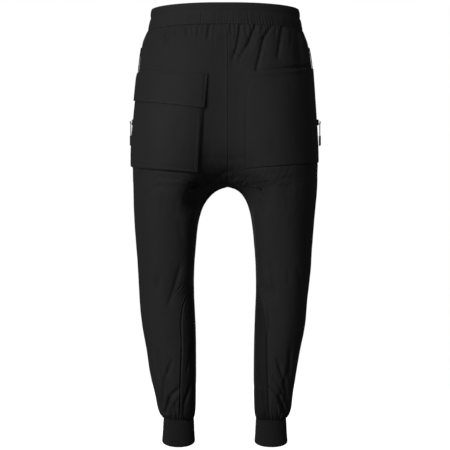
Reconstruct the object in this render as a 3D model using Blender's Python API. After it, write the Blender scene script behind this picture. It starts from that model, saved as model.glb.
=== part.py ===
"""Drop-crotch joggers of matt black woven cloth, filled out as if worn, with nobody inside.

Metres, +Z up. The front faces -Y and the wearer's left is +X. The origin is the middle of the
elasticated waistband, where the waist holds the garment up.

Every cut piece is a thin closed wall. A half of the garment is measured by two numbers: its
height, and its column, which runs from 0 at the side seam to +1 at the centre-back seam (and the
inseam) over the back, and from 0 to -1 over the front. Above the fork a row of points ends on the
crotch curve. Below the fork it closes round the leg.
"""

import math
from collections import namedtuple
from functools import lru_cache

import bpy
import bmesh
import numpy as np
from mathutils import Matrix, Vector

# Cloth and seams
CLOTH = 0.0015              # wall of the woven cloth
BAND_WALL = 0.0025          # waistband: cloth, elastic, cloth
CUFF_WALL = 0.0020          # rib knit, between two ribs
RIB_HEIGHT = 0.0008
SEAM_GAP = 0.0003           # clear space between two pieces

# Heights
BAND_TOP = 0.024
BAND_BOTTOM = -0.024
CHANNEL_STITCH = 0.005      # upper stitch line of the waistband
FORK = -0.373               # lowest point of the crotch curve
CUFF_TOP = -0.888
CUFF_BOTTOM = -0.943        # at the sides of the leg
CUFF_TILT = 0.18            # the cuff's lower edge drops towards the back

# Crotch
CROTCH_DEPTH = 0.090        # height over which the crotch curve turns under
ARCH_DEPTH = 0.085          # height over which the arch between the legs opens
CROTCH_TURN = math.radians(45.0)
TURN_RISE = 0.050
TURN_FALL = 0.060
SEAM_DRIFT = -0.0065        # the centre seam has settled this far to the wearer's right
DRIFT_WIDTH = 0.085
DRIFT_END = -0.440
DRIFT_FADE = 0.070

CURVE_STEPS = 40            # points along each half of a section's curve
ROUND = 0.55                # handles this long make a quarter of a round curve
FULL = 0.78                 # and these the squarer back of a leg, beside the gap
FULL_START = 0.060          # above the fork, where the back starts to get fuller
FULL_FADE = 0.090

# How rows dip towards the fork, so that they spread along the crotch curve
ROW_DIP = 0.060
DIP_REACH = 0.120

# Grid columns of the cut pieces
BACK_COLUMNS = 20
FRONT_COLUMNS = 12
INSET_COLUMNS = 4
INSET_TIP_SHARE = 0.30      # the calf inset's point is blunt by this share of a row

# Gathers
BAND_SQUASH = 1.9           # turns a direction from the band's middle square to its oval
BAND_GATHERS = 64
BAND_GATHER_HEIGHT = 0.0014
PANEL_GATHER_HEIGHT = 0.0011
PANEL_GATHER_REACH = 0.028
ANKLE_GATHER_HEIGHT = 0.0010
ANKLE_GATHER_REACH = 0.018
CUFF_RIBS = 38

# Heights of the rows at the side seam, from the waistband to the cuff
FORK_ROW_LEVELS = (
    BAND_BOTTOM - SEAM_GAP, -0.034, -0.046, -0.060, -0.080, -0.103, -0.133, -0.160, -0.190, -0.225,
    -0.260, -0.290, -0.315, -0.335, -0.354, FORK)
LEG_LEVELS = (
    -0.392, -0.413, -0.440, -0.475, -0.515, -0.555, -0.585, -0.615, -0.650, -0.690,
    -0.735, -0.775, -0.810, -0.840, -0.862, -0.878, CUFF_TOP)
LEVELS = FORK_ROW_LEVELS + LEG_LEVELS
INSET_TOP_ROW = LEVELS.index(-0.585)

# Sections, from the waistband's rim to the cuff's top. left and right: half-widths to the side
# seams. inner: half-width of the gap between the legs. peak: where the back and front stand out
# furthest, across. back and front: how far they stand out. seam_back and seam_front: the same at
# the centre seams, above the fork.
Section = namedtuple("Section", "height left right inner peak back front seam_back seam_front")
SECTIONS = (
    Section(+0.024, 0.1660, 0.1665, 0.0585, 0.015, 0.113, -0.113, 0.113, -0.113),
    Section(+0.005, 0.1675, 0.1690, 0.0585, 0.015, 0.114, -0.114, 0.114, -0.114),
    Section(-0.024, 0.1735, 0.1745, 0.0585, 0.020, 0.117, -0.117, 0.117, -0.117),
    Section(-0.046, 0.1840, 0.1840, 0.0585, 0.035, 0.123, -0.122, 0.122, -0.120),
    Section(-0.074, 0.1890, 0.1905, 0.0585, 0.048, 0.130, -0.127, 0.129, -0.124),
    Section(-0.114, 0.1930, 0.1955, 0.0585, 0.064, 0.138, -0.131, 0.136, -0.127),
    Section(-0.168, 0.1975, 0.2000, 0.0585, 0.080, 0.145, -0.133, 0.140, -0.128),
    Section(-0.209, 0.2005, 0.2022, 0.0585, 0.088, 0.147, -0.132, 0.140, -0.126),
    Section(-0.240, 0.2033, 0.2045, 0.0585, 0.093, 0.147, -0.130, 0.138, -0.122),
    Section(-0.300, 0.2067, 0.2070, 0.0585, 0.102, 0.143, -0.122, 0.131, -0.112),
    Section(FORK, 0.2057, 0.2065, 0.0585, 0.113, 0.131, -0.108, 0.120, -0.100),
    Section(-0.424, 0.2045, 0.2020, 0.0600, 0.125, 0.117, -0.096, 0.120, -0.100),
    Section(-0.465, 0.2020, 0.1990, 0.0615, 0.129, 0.109, -0.091, 0.120, -0.100),
    Section(-0.492, 0.2000, 0.1955, 0.0640, 0.131, 0.104, -0.087, 0.120, -0.100),
    Section(-0.546, 0.1955, 0.1930, 0.0685, 0.132, 0.096, -0.079, 0.120, -0.100),
    Section(-0.586, 0.1930, 0.1890, 0.0697, 0.131, 0.090, -0.073, 0.120, -0.100),
    Section(-0.626, 0.1910, 0.1840, 0.0685, 0.129, 0.085, -0.067, 0.120, -0.100),
    Section(-0.680, 0.1865, 0.1800, 0.0650, 0.125, 0.081, -0.060, 0.120, -0.100),
    Section(-0.734, 0.1750, 0.1685, 0.0640, 0.118, 0.078, -0.054, 0.120, -0.100),
    Section(-0.788, 0.1685, 0.1595, 0.0640, 0.113, 0.075, -0.049, 0.120, -0.100),
    Section(-0.842, 0.1550, 0.1505, 0.0645, 0.108, 0.069, -0.043, 0.120, -0.100),
    Section(-0.869, 0.1505, 0.1480, 0.0650, 0.106, 0.062, -0.038, 0.120, -0.100),
    Section(-0.882, 0.1455, 0.1440, 0.0670, 0.105, 0.055, -0.034, 0.120, -0.100),
    Section(CUFF_TOP, 0.1380, 0.1370, 0.0690, 0.1035, 0.047, -0.029, 0.120, -0.100),
)

# The leg's two lower seams: the back leg seam and the inseam, which swings towards the back
Seam = namedtuple("Seam", "height column")
BACK_LEG_SEAM = (
    Seam(-0.585, 1.000), Seam(-0.600, 0.850), Seam(-0.640, 0.690), Seam(-0.680, 0.640),
    Seam(-0.735, 0.630), Seam(-0.800, 0.593), Seam(CUFF_TOP, 0.541))
INSEAM = (
    Seam(-0.585, 1.000), Seam(-0.640, 0.940), Seam(-0.690, 0.860), Seam(-0.743, 0.815),
    Seam(CUFF_TOP, 0.800))

# Creases, each a soft trough from one point to another, seen from behind (+1) or before (-1)
Crease = namedtuple("Crease", "face x_top z_top x_end z_end width depth")
CREASES = (
    # under the waistband, back
    Crease(+1, -0.034, -0.026, -0.026, -0.078, 0.0075, 0.0036),
    Crease(+1, -0.026, -0.078, -0.017, -0.101, 0.0080, 0.0030),
    Crease(+1, -0.067, -0.026, -0.054, -0.060, 0.0080, 0.0042),
    Crease(+1, -0.054, -0.060, -0.036, -0.096, 0.0080, 0.0038),
    Crease(+1, -0.100, -0.030, -0.084, -0.056, 0.0085, 0.0040),
    Crease(+1, -0.084, -0.056, -0.068, -0.124, 0.0085, 0.0042),
    Crease(+1, -0.125, -0.028, -0.114, -0.097, 0.0085, 0.0040),
    Crease(+1, -0.159, -0.040, -0.166, -0.108, 0.0120, 0.0048),
    Crease(+1, 0.131, -0.034, 0.129, -0.060, 0.0075, 0.0032),
    Crease(+1, 0.034, -0.026, 0.037, -0.050, 0.0075, 0.0030),
    Crease(+1, 0.170, -0.034, 0.172, -0.105, 0.0070, 0.0022),
    # under the waistband, front
    Crease(-1, 0.040, -0.028, 0.030, -0.090, 0.0110, 0.0038),
    Crease(-1, 0.095, -0.028, 0.074, -0.105, 0.0110, 0.0042),
    Crease(-1, 0.145, -0.032, 0.140, -0.085, 0.0110, 0.0036),
    Crease(-1, -0.052, -0.028, -0.040, -0.100, 0.0110, 0.0042),
    Crease(-1, -0.108, -0.028, -0.092, -0.088, 0.0110, 0.0038),
    Crease(-1, -0.152, -0.034, -0.156, -0.098, 0.0110, 0.0034),
    # from the crotch, back and front
    Crease(+1, 0.014, -0.350, 0.064, -0.386, 0.0090, 0.0042),
    Crease(+1, 0.064, -0.386, 0.076, -0.410, 0.0090, 0.0034),
    Crease(+1, -0.030, -0.350, -0.068, -0.380, 0.0090, 0.0036),
    Crease(+1, -0.068, -0.380, -0.078, -0.398, 0.0090, 0.0030),
    Crease(-1, 0.012, -0.345, 0.082, -0.300, 0.0130, 0.0040),
    Crease(-1, -0.024, -0.345, -0.092, -0.310, 0.0130, 0.0036),
    # knees
    Crease(+1, 0.097, -0.546, 0.110, -0.594, 0.0100, 0.0030),
    Crease(+1, 0.110, -0.594, 0.123, -0.630, 0.0100, 0.0024),
    Crease(+1, 0.146, -0.575, 0.147, -0.596, 0.0120, 0.0024),
    Crease(+1, -0.097, -0.546, -0.112, -0.610, 0.0100, 0.0026),
    Crease(-1, 0.100, -0.560, 0.150, -0.575, 0.0140, 0.0034),
    Crease(-1, -0.095, -0.575, -0.145, -0.560, 0.0140, 0.0032),
    # calves, down to the cuffs
    Crease(+1, 0.148, -0.740, 0.146, -0.784, 0.0080, 0.0024),
    Crease(+1, 0.116, -0.757, 0.133, -0.798, 0.0080, 0.0030),
    Crease(+1, 0.133, -0.798, 0.139, -0.856, 0.0080, 0.0034),
    Crease(+1, 0.100, -0.815, 0.121, -0.834, 0.0075, 0.0026),
    Crease(+1, 0.121, -0.834, 0.131, -0.870, 0.0075, 0.0032),
    Crease(+1, 0.075, -0.812, 0.090, -0.850, 0.0070, 0.0022),
    Crease(+1, -0.143, -0.740, -0.141, -0.784, 0.0080, 0.0024),
    Crease(+1, -0.114, -0.753, -0.131, -0.802, 0.0080, 0.0030),
    Crease(+1, -0.131, -0.802, -0.138, -0.854, 0.0080, 0.0034),
    Crease(+1, -0.099, -0.815, -0.121, -0.836, 0.0075, 0.0026),
    Crease(+1, -0.121, -0.836, -0.130, -0.866, 0.0075, 0.0032),
    Crease(+1, -0.074, -0.806, -0.088, -0.845, 0.0070, 0.0022),
    Crease(-1, 0.085, -0.770, 0.128, -0.812, 0.0100, 0.0032),
    Crease(-1, 0.128, -0.812, 0.136, -0.858, 0.0090, 0.0030),
    Crease(-1, -0.085, -0.780, -0.126, -0.818, 0.0100, 0.0032),
    Crease(-1, -0.126, -0.818, -0.134, -0.860, 0.0090, 0.0030),
)
RIDGE_SHARE = 0.75          # how strongly the cloth stands up beside a crease
WAIST_HOLD = 0.014          # the waistband's seam flattens creases over this height
WAIST_SLACK = 0.25          # to this share

# Pockets. Heights fall towards the centre back; x is across, to the wearer's left.
Edge = namedtuple("Edge", "share x")
CARGO_TOP_SIDE = -0.137
CARGO_TOP_INNER = -0.152
CARGO_BOTTOM_SIDE = -0.3255
CARGO_BOTTOM_INNER = -0.346
CARGO_INNER_EDGE = (Edge(0.0, 0.0500), Edge(0.35, 0.0530), Edge(1.0, 0.0615))
CARGO_HOLLOW_TOP = 0.0005   # between the pouch and the panel, at the mouth
CARGO_HOLLOW = 0.0048       # the same lower down
CARGO_SIDE_SHARE = 0.45     # the pouch is flatter beside the side seam
CARGO_SPREAD = 0.0070       # foot of the gusset at the inner edge, beyond the pouch's face
GUSSET_CLEAR = 0.0005       # between the gusset's foot and the panel
GUSSET_SIDE = 0.0008        # the same at the side seam
GUSSET_DROP = 0.0030        # the same below the pouch
FLAP_TOP_SIDE = -0.117
FLAP_TOP_INNER = -0.132
FLAP_BOTTOM_SIDE = -0.1795
FLAP_BOTTOM_INNER = -0.2080
FLAP_INNER_EDGE = (Edge(0.0, 0.0370), Edge(1.0, 0.0450))
FLAP_WALL = 0.0020
FLAP_CLEAR = 0.0007         # between the flap and what is under it
FLAP_LIFT = 0.0009          # more room over the pouch
FLAP_LIFT_SHARE = 0.12      # where the flap has risen over the pouch's edge
PATCH_TOP_SIDE = -0.108
PATCH_TOP_INNER = -0.130
PATCH_BOTTOM_SIDE = -0.318
PATCH_BOTTOM_INNER = -0.335
PATCH_INNER_EDGE = (
    Edge(0.0, -0.0600), Edge(0.12, -0.0500), Edge(0.30, -0.0435), Edge(1.0, -0.0450))
PATCH_WALL = 0.0012
PATCH_CLEAR = 0.0007        # under the patch pocket, which bridges the panel's small hollows
MOUTH_LIFT = 0.0010         # the patch pocket's mouth stands off by this
POCKET_SIDE_COLUMN = 0.55   # the pockets' outer edges, in grid columns from the side seam
EDGE_COLUMN = 16.5          # the grid column near which their inner edges lie

# Zips, in the side seams
ZIP_TOP = -0.060
ZIP_BOTTOM = -0.236
ZIP_WIDTH = 0.0064
ZIP_HEIGHT = 0.0014
ZIP_CLEAR = 0.0005
SLIDER_WIDTH = 0.0080
SLIDER_LENGTH = 0.0130
SLIDER_HEIGHT = 0.0040
SLIDER_BEVEL = 0.0006
SLIDER_CENTRE = -0.2285
BAIL_WIDTH = 0.0022
BAIL_WALL = 0.0010
BAIL_INSIDE = 0.0042        # clear height under the bail
HINGE_HEIGHT = 0.0026       # the pull's bar turns at this height over the slider
BAIL_LENGTH = 0.0072
PULL_WIRE = 0.0016          # thickness of the pull's loop
PULL_LOOP_WIDTH = 0.0086
PULL_LOOP_LENGTH = 0.0320
TAB_WIDTH = 0.0098
TAB_LENGTH = 0.0225
TAB_THICKNESS = 0.0042
TAB_BEVEL = 0.0009


# ---------------------------------------------------------------- curves and tables

def smooth_step(t):
    """0 below 0, 1 above 1, and a soft rise between."""
    t = min(max(t, 0.0), 1.0)
    return t * t * (3.0 - 2.0 * t)


def round_over(t):
    """A quarter ellipse: 0 at 0, steep at first, and flat from 1 on."""
    t = min(max(t, 0.0), 1.0)
    return math.sqrt(1.0 - (1.0 - t) ** 2)


def curve_through(rows, key, value):
    """A smooth function through a table's rows that never overshoots them."""
    ordered = sorted(rows, key=lambda row: getattr(row, key))
    places = [getattr(row, key) for row in ordered]
    values = [getattr(row, value) for row in ordered]
    rises = [(values[i + 1] - values[i]) / (places[i + 1] - places[i]) for i in range(len(places) - 1)]
    slopes = [rises[0]]
    for before, after in zip(rises, rises[1:]):
        slopes.append(2.0 * before * after / (before + after) if before * after > 0.0 else 0.0)
    slopes.append(rises[-1])

    def read(place):
        place = min(max(place, places[0]), places[-1])
        i = min(int(np.searchsorted(places, place, side="right")) - 1, len(places) - 2)
        span = places[i + 1] - places[i]
        t = (place - places[i]) / span
        start = values[i] * (1.0 + 2.0 * t) * (1.0 - t) ** 2 + slopes[i] * span * t * (1.0 - t) ** 2
        end = values[i + 1] * t * t * (3.0 - 2.0 * t) + slopes[i + 1] * span * t * t * (t - 1.0)
        return start + end

    return read


SIZE = {name: curve_through(SECTIONS, "height", name) for name in Section._fields if name != "height"}
BACK_LEG_COLUMN = curve_through(BACK_LEG_SEAM, "height", "column")
INSEAM_COLUMN = curve_through(INSEAM, "height", "column")


# ---------------------------------------------------------------- the garment's surface

def row_height(level, column):
    """Height of a row at a column: rows dip towards the crotch curve on both sides of the fork."""
    away = level - FORK
    gathered = away * abs(away) / (abs(away) + ROW_DIP * math.exp(-(away / DIP_REACH) ** 2))
    return level + (gathered - away) * smooth_step((abs(column) - 0.2) / 0.8)


def section_end(height, facing):
    """Where a section meets the centre seam or the inseam, and the angle at which it arrives."""
    rise = height - FORK
    if rise >= 0.0:
        seam = SIZE["seam_back"](height) if facing > 0 else SIZE["seam_front"](height)
        turn = CROTCH_TURN * (1.0 - smooth_step(rise / TURN_RISE))
        return 0.0, seam * round_over(rise / CROTCH_DEPTH), turn
    middle = 0.5 * (SIZE["back"](height) + SIZE["front"](height))
    inner = SIZE["inner"](height) * round_over(-rise / ARCH_DEPTH)
    turn = CROTCH_TURN + (math.pi / 2 - CROTCH_TURN) * smooth_step(-rise / TURN_FALL)
    return inner, middle * smooth_step(-rise / DIP_REACH), turn


def drifted(x, height):
    """The centre seam's drift, which fades out across and below the fork."""
    share = math.exp(-(x / DRIFT_WIDTH) ** 2)
    lower = smooth_step((height - DRIFT_END) / DRIFT_FADE)
    upper = smooth_step((BAND_TOP - height) / (BAND_TOP - BAND_BOTTOM))
    return x + SEAM_DRIFT * share * lower * upper


@lru_cache(maxsize=None)
def section_curve(half, facing, height):
    """A section from the side seam to its end, and each point's share of the section's length.

    half is +1 for the wearer's left and -1 for the right, and facing is +1 for the back.
    """
    side = SIZE["left"](height) if half > 0 else SIZE["right"](height)
    peak_x = SIZE["peak"](height)
    peak_y = SIZE["back"](height) if facing > 0 else SIZE["front"](height)
    middle = 0.5 * (SIZE["back"](height) + SIZE["front"](height))
    end_x, end_y, turn = section_end(height, facing)
    reach_x = peak_x - end_x
    fuller = smooth_step((FORK + FULL_START - height) / FULL_FADE) if facing > 0 else 0.0
    handle = ROUND + (FULL - ROUND) * fuller
    pull = handle * (reach_x * math.cos(turn) + abs(peak_y - end_y) * math.sin(turn))
    angle = np.linspace(0.0, math.pi / 2, CURVE_STEPS + 1)
    t = np.linspace(0.0, 1.0, CURVE_STEPS + 1)[1:]
    weights = ((1 - t) ** 3, 3 * t * (1 - t) ** 2, 3 * t * t * (1 - t), t ** 3)
    handles_x = (peak_x, peak_x - handle * reach_x, end_x + pull * math.cos(turn), end_x)
    handles_y = (peak_y, peak_y, end_y + facing * pull * math.sin(turn), end_y)
    inner_x = sum(w * h for w, h in zip(weights, handles_x))
    inner_y = sum(w * h for w, h in zip(weights, handles_y))
    x = np.concatenate((peak_x + (side - peak_x) * np.cos(angle), inner_x))
    y = np.concatenate((middle + (peak_y - middle) * np.sin(angle), inner_y))
    lengths = np.concatenate(([0.0], np.cumsum(np.hypot(np.diff(x), np.diff(y)))))
    return x, y, lengths / lengths[-1]


def body_point(half, column, height):
    """A point of the smooth garment, at a share of its section's length."""
    if column < -1.0:
        column += 2.0
    x, y, shares = section_curve(half, 1 if column >= 0.0 else -1, height)
    share = abs(column)
    return drifted(half * np.interp(share, shares, x), height), np.interp(share, shares, y), height


def crease_depth(x, height, facing):
    """How far the creases and the ridges beside them move a point out, which is mostly inwards."""
    moved = 0.0
    for crease in CREASES:
        if crease.face != facing:
            continue
        along = (crease.x_end - crease.x_top, crease.z_end - crease.z_top)
        offset = (x - crease.x_top, height - crease.z_top)
        length = along[0] ** 2 + along[1] ** 2
        t = min(max((along[0] * offset[0] + along[1] * offset[1]) / length, 0.0), 1.0)
        away = math.hypot(offset[0] - t * along[0], offset[1] - t * along[1]) / crease.width
        moved -= crease.depth * (1.0 - RIDGE_SHARE * away * away) * math.exp(-away * away)
    held = smooth_step((BAND_BOTTOM - height) / WAIST_HOLD)
    return moved * (WAIST_SLACK + (1.0 - WAIST_SLACK) * held)


def gather_height(number, height):
    """Gathers under the waistband and over the cuff: each second column stands out."""
    sign = 1.0 if number % 2 == 0 else -1.0
    uneven = 0.65 + 0.35 * math.sin(2.1 * number + 0.7)
    waist = PANEL_GATHER_HEIGHT * math.exp((height - BAND_BOTTOM) / (PANEL_GATHER_REACH * uneven))
    ankle = ANKLE_GATHER_HEIGHT * math.exp((CUFF_TOP - height) / (ANKLE_GATHER_REACH * uneven))
    return sign * (waist + ankle)


# ---------------------------------------------------------------- cut pieces

class Panel:
    """One cut piece: a grid of points, rows from the waist down, columns from its outer seam."""

    def __init__(self, half, first_column, last_column, columns, first_row=0):
        self.half = half
        self.columns = columns
        levels = LEVELS[first_row:]
        self.points = np.zeros((len(levels), columns + 1, 3))
        self.moves = np.zeros((len(levels), columns + 1))
        for i, level in enumerate(levels):
            start = first_column(level)
            end = last_column(level)
            for j in range(columns + 1):
                column = start + (end - start) * j / columns
                folded = column + 2.0 if column < -1.0 else column
                height = row_height(level, folded)
                x, y, z = body_point(half, column, height)
                facing = 1 if folded >= 0.0 else -1
                self.points[i, j] = (x, y, z)
                self.moves[i, j] = crease_depth(x, z, facing) + gather_height(j, z)

    def blunt_tip(self, share):
        """Start a piece that comes to a point a share of a row below it."""
        self.points[0] += (self.points[1] - self.points[0]) * share
        self.normals[0] += (self.normals[1] - self.normals[0]) * share
        self.normals[0] /= np.linalg.norm(self.normals[0], axis=-1, keepdims=True)


def shared_normals(panels):
    """Normals at the points of several panels, averaged where the points meet."""
    sums = {}
    for panel in panels:
        p = panel.points
        across = p[1:, 1:] - p[:-1, :-1]
        down = p[1:, :-1] - p[:-1, 1:]
        faces = np.cross(across, down) * panel.turn
        for i in range(faces.shape[0]):
            for j in range(faces.shape[1]):
                for point in (p[i, j], p[i + 1, j], p[i, j + 1], p[i + 1, j + 1]):
                    key = tuple(np.round(point, 6))
                    sums[key] = sums.get(key, 0.0) + faces[i, j]
    for panel in panels:
        p = panel.points
        panel.normals = np.zeros_like(p)
        for i in range(p.shape[0]):
            for j in range(p.shape[1]):
                normal = sums[tuple(np.round(p[i, j], 6))]
                panel.normals[i, j] = normal / np.linalg.norm(normal)


def average_moves(panels):
    """Give points that two panels share the same move."""
    moves = {}
    for panel in panels:
        for point, move in zip(panel.points.reshape(-1, 3), panel.moves.reshape(-1)):
            moves.setdefault(tuple(np.round(point, 6)), []).append(move)
    for panel in panels:
        for i in range(panel.moves.shape[0]):
            for j in range(panel.moves.shape[1]):
                panel.moves[i, j] = np.mean(moves[tuple(np.round(panel.points[i, j], 6))])


def pulled_in(grid, gap):
    """A grid whose four edges are pulled in by gap."""
    result = grid.copy()

    def step(start, towards):
        away = towards - start
        return away / np.linalg.norm(away, axis=-1, keepdims=True) * gap

    result[:, 0] += step(grid[:, 0], grid[:, 1])
    result[:, -1] += step(grid[:, -1], grid[:, -2])
    result[0] += step(grid[0], grid[1])
    result[-1] += step(grid[-1], grid[-2])
    return result


def make_panels():
    """All cut pieces of the body, by node name, with creases and gathers pressed in."""
    panels = {}
    for word, half in (("left", 1), ("right", -1)):
        back = Panel(half, lambda z: 0.0, BACK_LEG_COLUMN, BACK_COLUMNS)
        front = Panel(half, lambda z: 0.0, lambda z: INSEAM_COLUMN(z) - 2.0, FRONT_COLUMNS)
        inset = Panel(half, BACK_LEG_COLUMN, INSEAM_COLUMN, INSET_COLUMNS, INSET_TOP_ROW)
        back.turn = -float(half)
        front.turn = float(half)
        inset.turn = -float(half)
        panels["back_" + word] = back
        panels["front_" + word] = front
        panels["calf_inset_" + word] = inset
    everything = list(panels.values())
    average_moves(everything)
    shared_normals(everything)
    for panel in everything:
        panel.points += panel.normals * panel.moves[..., None]
    shared_normals(everything)
    for name, panel in panels.items():
        if name.startswith("calf_inset"):
            panel.blunt_tip(INSET_TIP_SHARE)
    return panels


# ---------------------------------------------------------------- meshes

def material(name, colour, roughness):
    """A plain material with the piece's colour and roughness."""
    made = bpy.data.materials.new(name)
    made.use_nodes = True
    shader = made.node_tree.nodes["Principled BSDF"]
    shader.inputs["Base Color"].default_value = (*colour, 1.0)
    shader.inputs["Roughness"].default_value = roughness
    shader.inputs["Metallic"].default_value = 0.0
    made.diffuse_color = (*colour, 1.0)
    return made


def add_object(name, mesh, finish):
    """Put a mesh in the scene under its node's name."""
    mesh.materials.append(finish)
    made = bpy.data.objects.new(name, mesh)
    bpy.context.scene.collection.objects.link(made)
    return made


def closed_wall(name, outer, inner, finish, ring=False):
    """One solid between two grids of points that have the same columns.

    A ring's last column joins its first. The inner grid may have fewer rows than the outer. Every
    cell is split along the same diagonal, so that a pocket's faces follow the panel's under it.
    """
    mesh = bpy.data.meshes.new(name)
    shape = bmesh.new()
    outside = [[shape.verts.new(point) for point in row] for row in outer]
    inside = [[shape.verts.new(point) for point in row] for row in inner]
    count = len(outside[0])
    steps = range(count) if ring else range(count - 1)

    def skin(rows):
        for upper, lower in zip(rows, rows[1:]):
            for j in steps:
                k = (j + 1) % count
                shape.faces.new((upper[j], upper[k], lower[k]))
                shape.faces.new((upper[j], lower[k], lower[j]))

    skin(outside)
    skin(inside)
    skin([outside[0], inside[0]])
    skin([outside[-1], inside[-1]])
    if not ring:
        for edge in (0, -1):
            for i in range(len(outside) - 1):
                shape.faces.new((outside[i][edge], outside[i + 1][edge],
                                 inside[i + 1][edge], inside[i][edge]))
    bmesh.ops.recalc_face_normals(shape, faces=shape.faces)
    shape.to_mesh(mesh)
    shape.free()
    mesh.shade_smooth()
    mesh.set_sharp_from_angle(angle=math.radians(50.0))
    return add_object(name, mesh, finish)


def make_body(panels, finish):
    """The cut pieces as walls, each clear of its neighbours."""
    for name, panel in panels.items():
        outer = pulled_in(panel.points, 0.5 * SEAM_GAP)
        inner = pulled_in(panel.points - panel.normals * CLOTH, 0.5 * SEAM_GAP)
        closed_wall(name, outer, inner, finish)


def ring_points(height, steps):
    """Evenly spaced points round the waistband, from the left side over the back."""
    quarters = ((1, 1, 1), (-1, 1, -1), (-1, -1, 1), (1, -1, -1))
    round_x = []
    round_y = []
    for half, facing, order in quarters:
        x, y, _ = section_curve(half, facing, height)
        round_x += list(half * x[::order])[:-1]
        round_y += list(y[::order])[:-1]
    x = np.array(round_x + round_x[:1])
    y = np.array(round_y + round_y[:1])
    lengths = np.concatenate(([0.0], np.cumsum(np.hypot(np.diff(x), np.diff(y)))))
    places = np.arange(steps) / steps * lengths[-1]
    return [Vector((px, py, height)) for px, py in zip(np.interp(places, lengths, x), np.interp(places, lengths, y))]


def make_waistband(finish):
    """The elasticated band: a smooth channel over a stitch line, and gathers below it."""
    steps = 2 * BAND_GATHERS
    heights = (BAND_TOP, 0.020, 0.013, CHANNEL_STITCH, -0.003, -0.013, BAND_BOTTOM)
    swell = (-0.0008, 0.0004, 0.0008, -0.0009, 0.0004, 0.0006, -0.0006)
    gather = (0.10, 0.20, 0.25, 0.10, 0.75, 1.00, 0.85)

    def outwards(point):
        return Vector((point.x, point.y * BAND_SQUASH, 0.0)).normalized()

    outer = []
    for height, out, share in zip(heights, swell, gather):
        row = []
        for k, point in enumerate(ring_points(height, steps)):
            uneven = 0.6 + 0.4 * math.sin(1.7 * k + 3.0 * math.sin(0.31 * k))
            wave = (1.0 if k % 2 == 0 else -1.0) * BAND_GATHER_HEIGHT * share * uneven
            row.append(point + outwards(point) * (out + 0.5 * wave))
        outer.append(row)
    inner = [[point - outwards(point) * BAND_WALL for point in ring_points(height, steps)]
             for height in (BAND_TOP, BAND_BOTTOM)]
    return closed_wall("waistband", outer, inner, finish, ring=True)


def make_cuff(name, half, finish):
    """A rib-knit tube: ribs outside, plain inside, its lower edge lower at the back."""
    steps = 2 * CUFF_RIBS
    top = CUFF_TOP - SEAM_GAP
    centre_x = 0.5 * (SIZE["left" if half > 0 else "right"](CUFF_TOP) + SIZE["inner"](CUFF_TOP))
    centre_y = 0.5 * (SIZE["back"](CUFF_TOP) + SIZE["front"](CUFF_TOP))
    levels = ((0.00, 0.0335, 0.0368), (0.45, 0.0345, 0.0372), (0.93, 0.0362, 0.0385), (1.00, 0.0354, 0.0377))

    def tube(rows, extra):
        grid = []
        for share, half_width, half_depth in rows:
            row = []
            for k in range(steps):
                angle = math.tau * k / steps
                out = extra(k)
                x = (half_width + out) * math.cos(angle)
                y = (half_depth + out) * math.sin(angle)
                bottom = CUFF_BOTTOM - CUFF_TILT * y
                row.append((half * (centre_x + x), centre_y + y, top + (bottom - top) * share))
            grid.append(row)
        return grid

    outer = tube(levels, lambda k: 0.0 if k % 2 else RIB_HEIGHT)
    inner = tube((levels[0], levels[-1]), lambda k: -CUFF_WALL)
    return closed_wall(name, outer, inner, finish, ring=True)


# ---------------------------------------------------------------- pockets, on a back panel

def grid_value(grid, row, column):
    """A grid's value at a fractional row and column."""
    i = min(int(row), grid.shape[0] - 2)
    j = int(min(max(math.floor(column), 0), grid.shape[1] - 2))
    a = row - i
    b = column - j
    upper = grid[i, j] * (1 - b) + grid[i, j + 1] * b
    lower = grid[i + 1, j] * (1 - b) + grid[i + 1, j + 1] * b
    return upper * (1 - a) + lower * a


def row_at(panel, column, height):
    """The fractional row at which a panel's column reaches a height."""
    heights = [grid_value(panel.points, row, column)[2] for row in range(panel.points.shape[0])]
    return float(np.interp(-height, -np.array(heights), np.arange(len(heights))))


def on_panel(panel, row, column, out):
    """A point on a panel, moved out along the panel's normal."""
    normal = grid_value(panel.normals, row, column)
    return Vector(grid_value(panel.points, row, column) + normal / np.linalg.norm(normal) * out)


Mark = namedtuple("Mark", "row share")      # a row of the panel, or else a share of the way down


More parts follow.
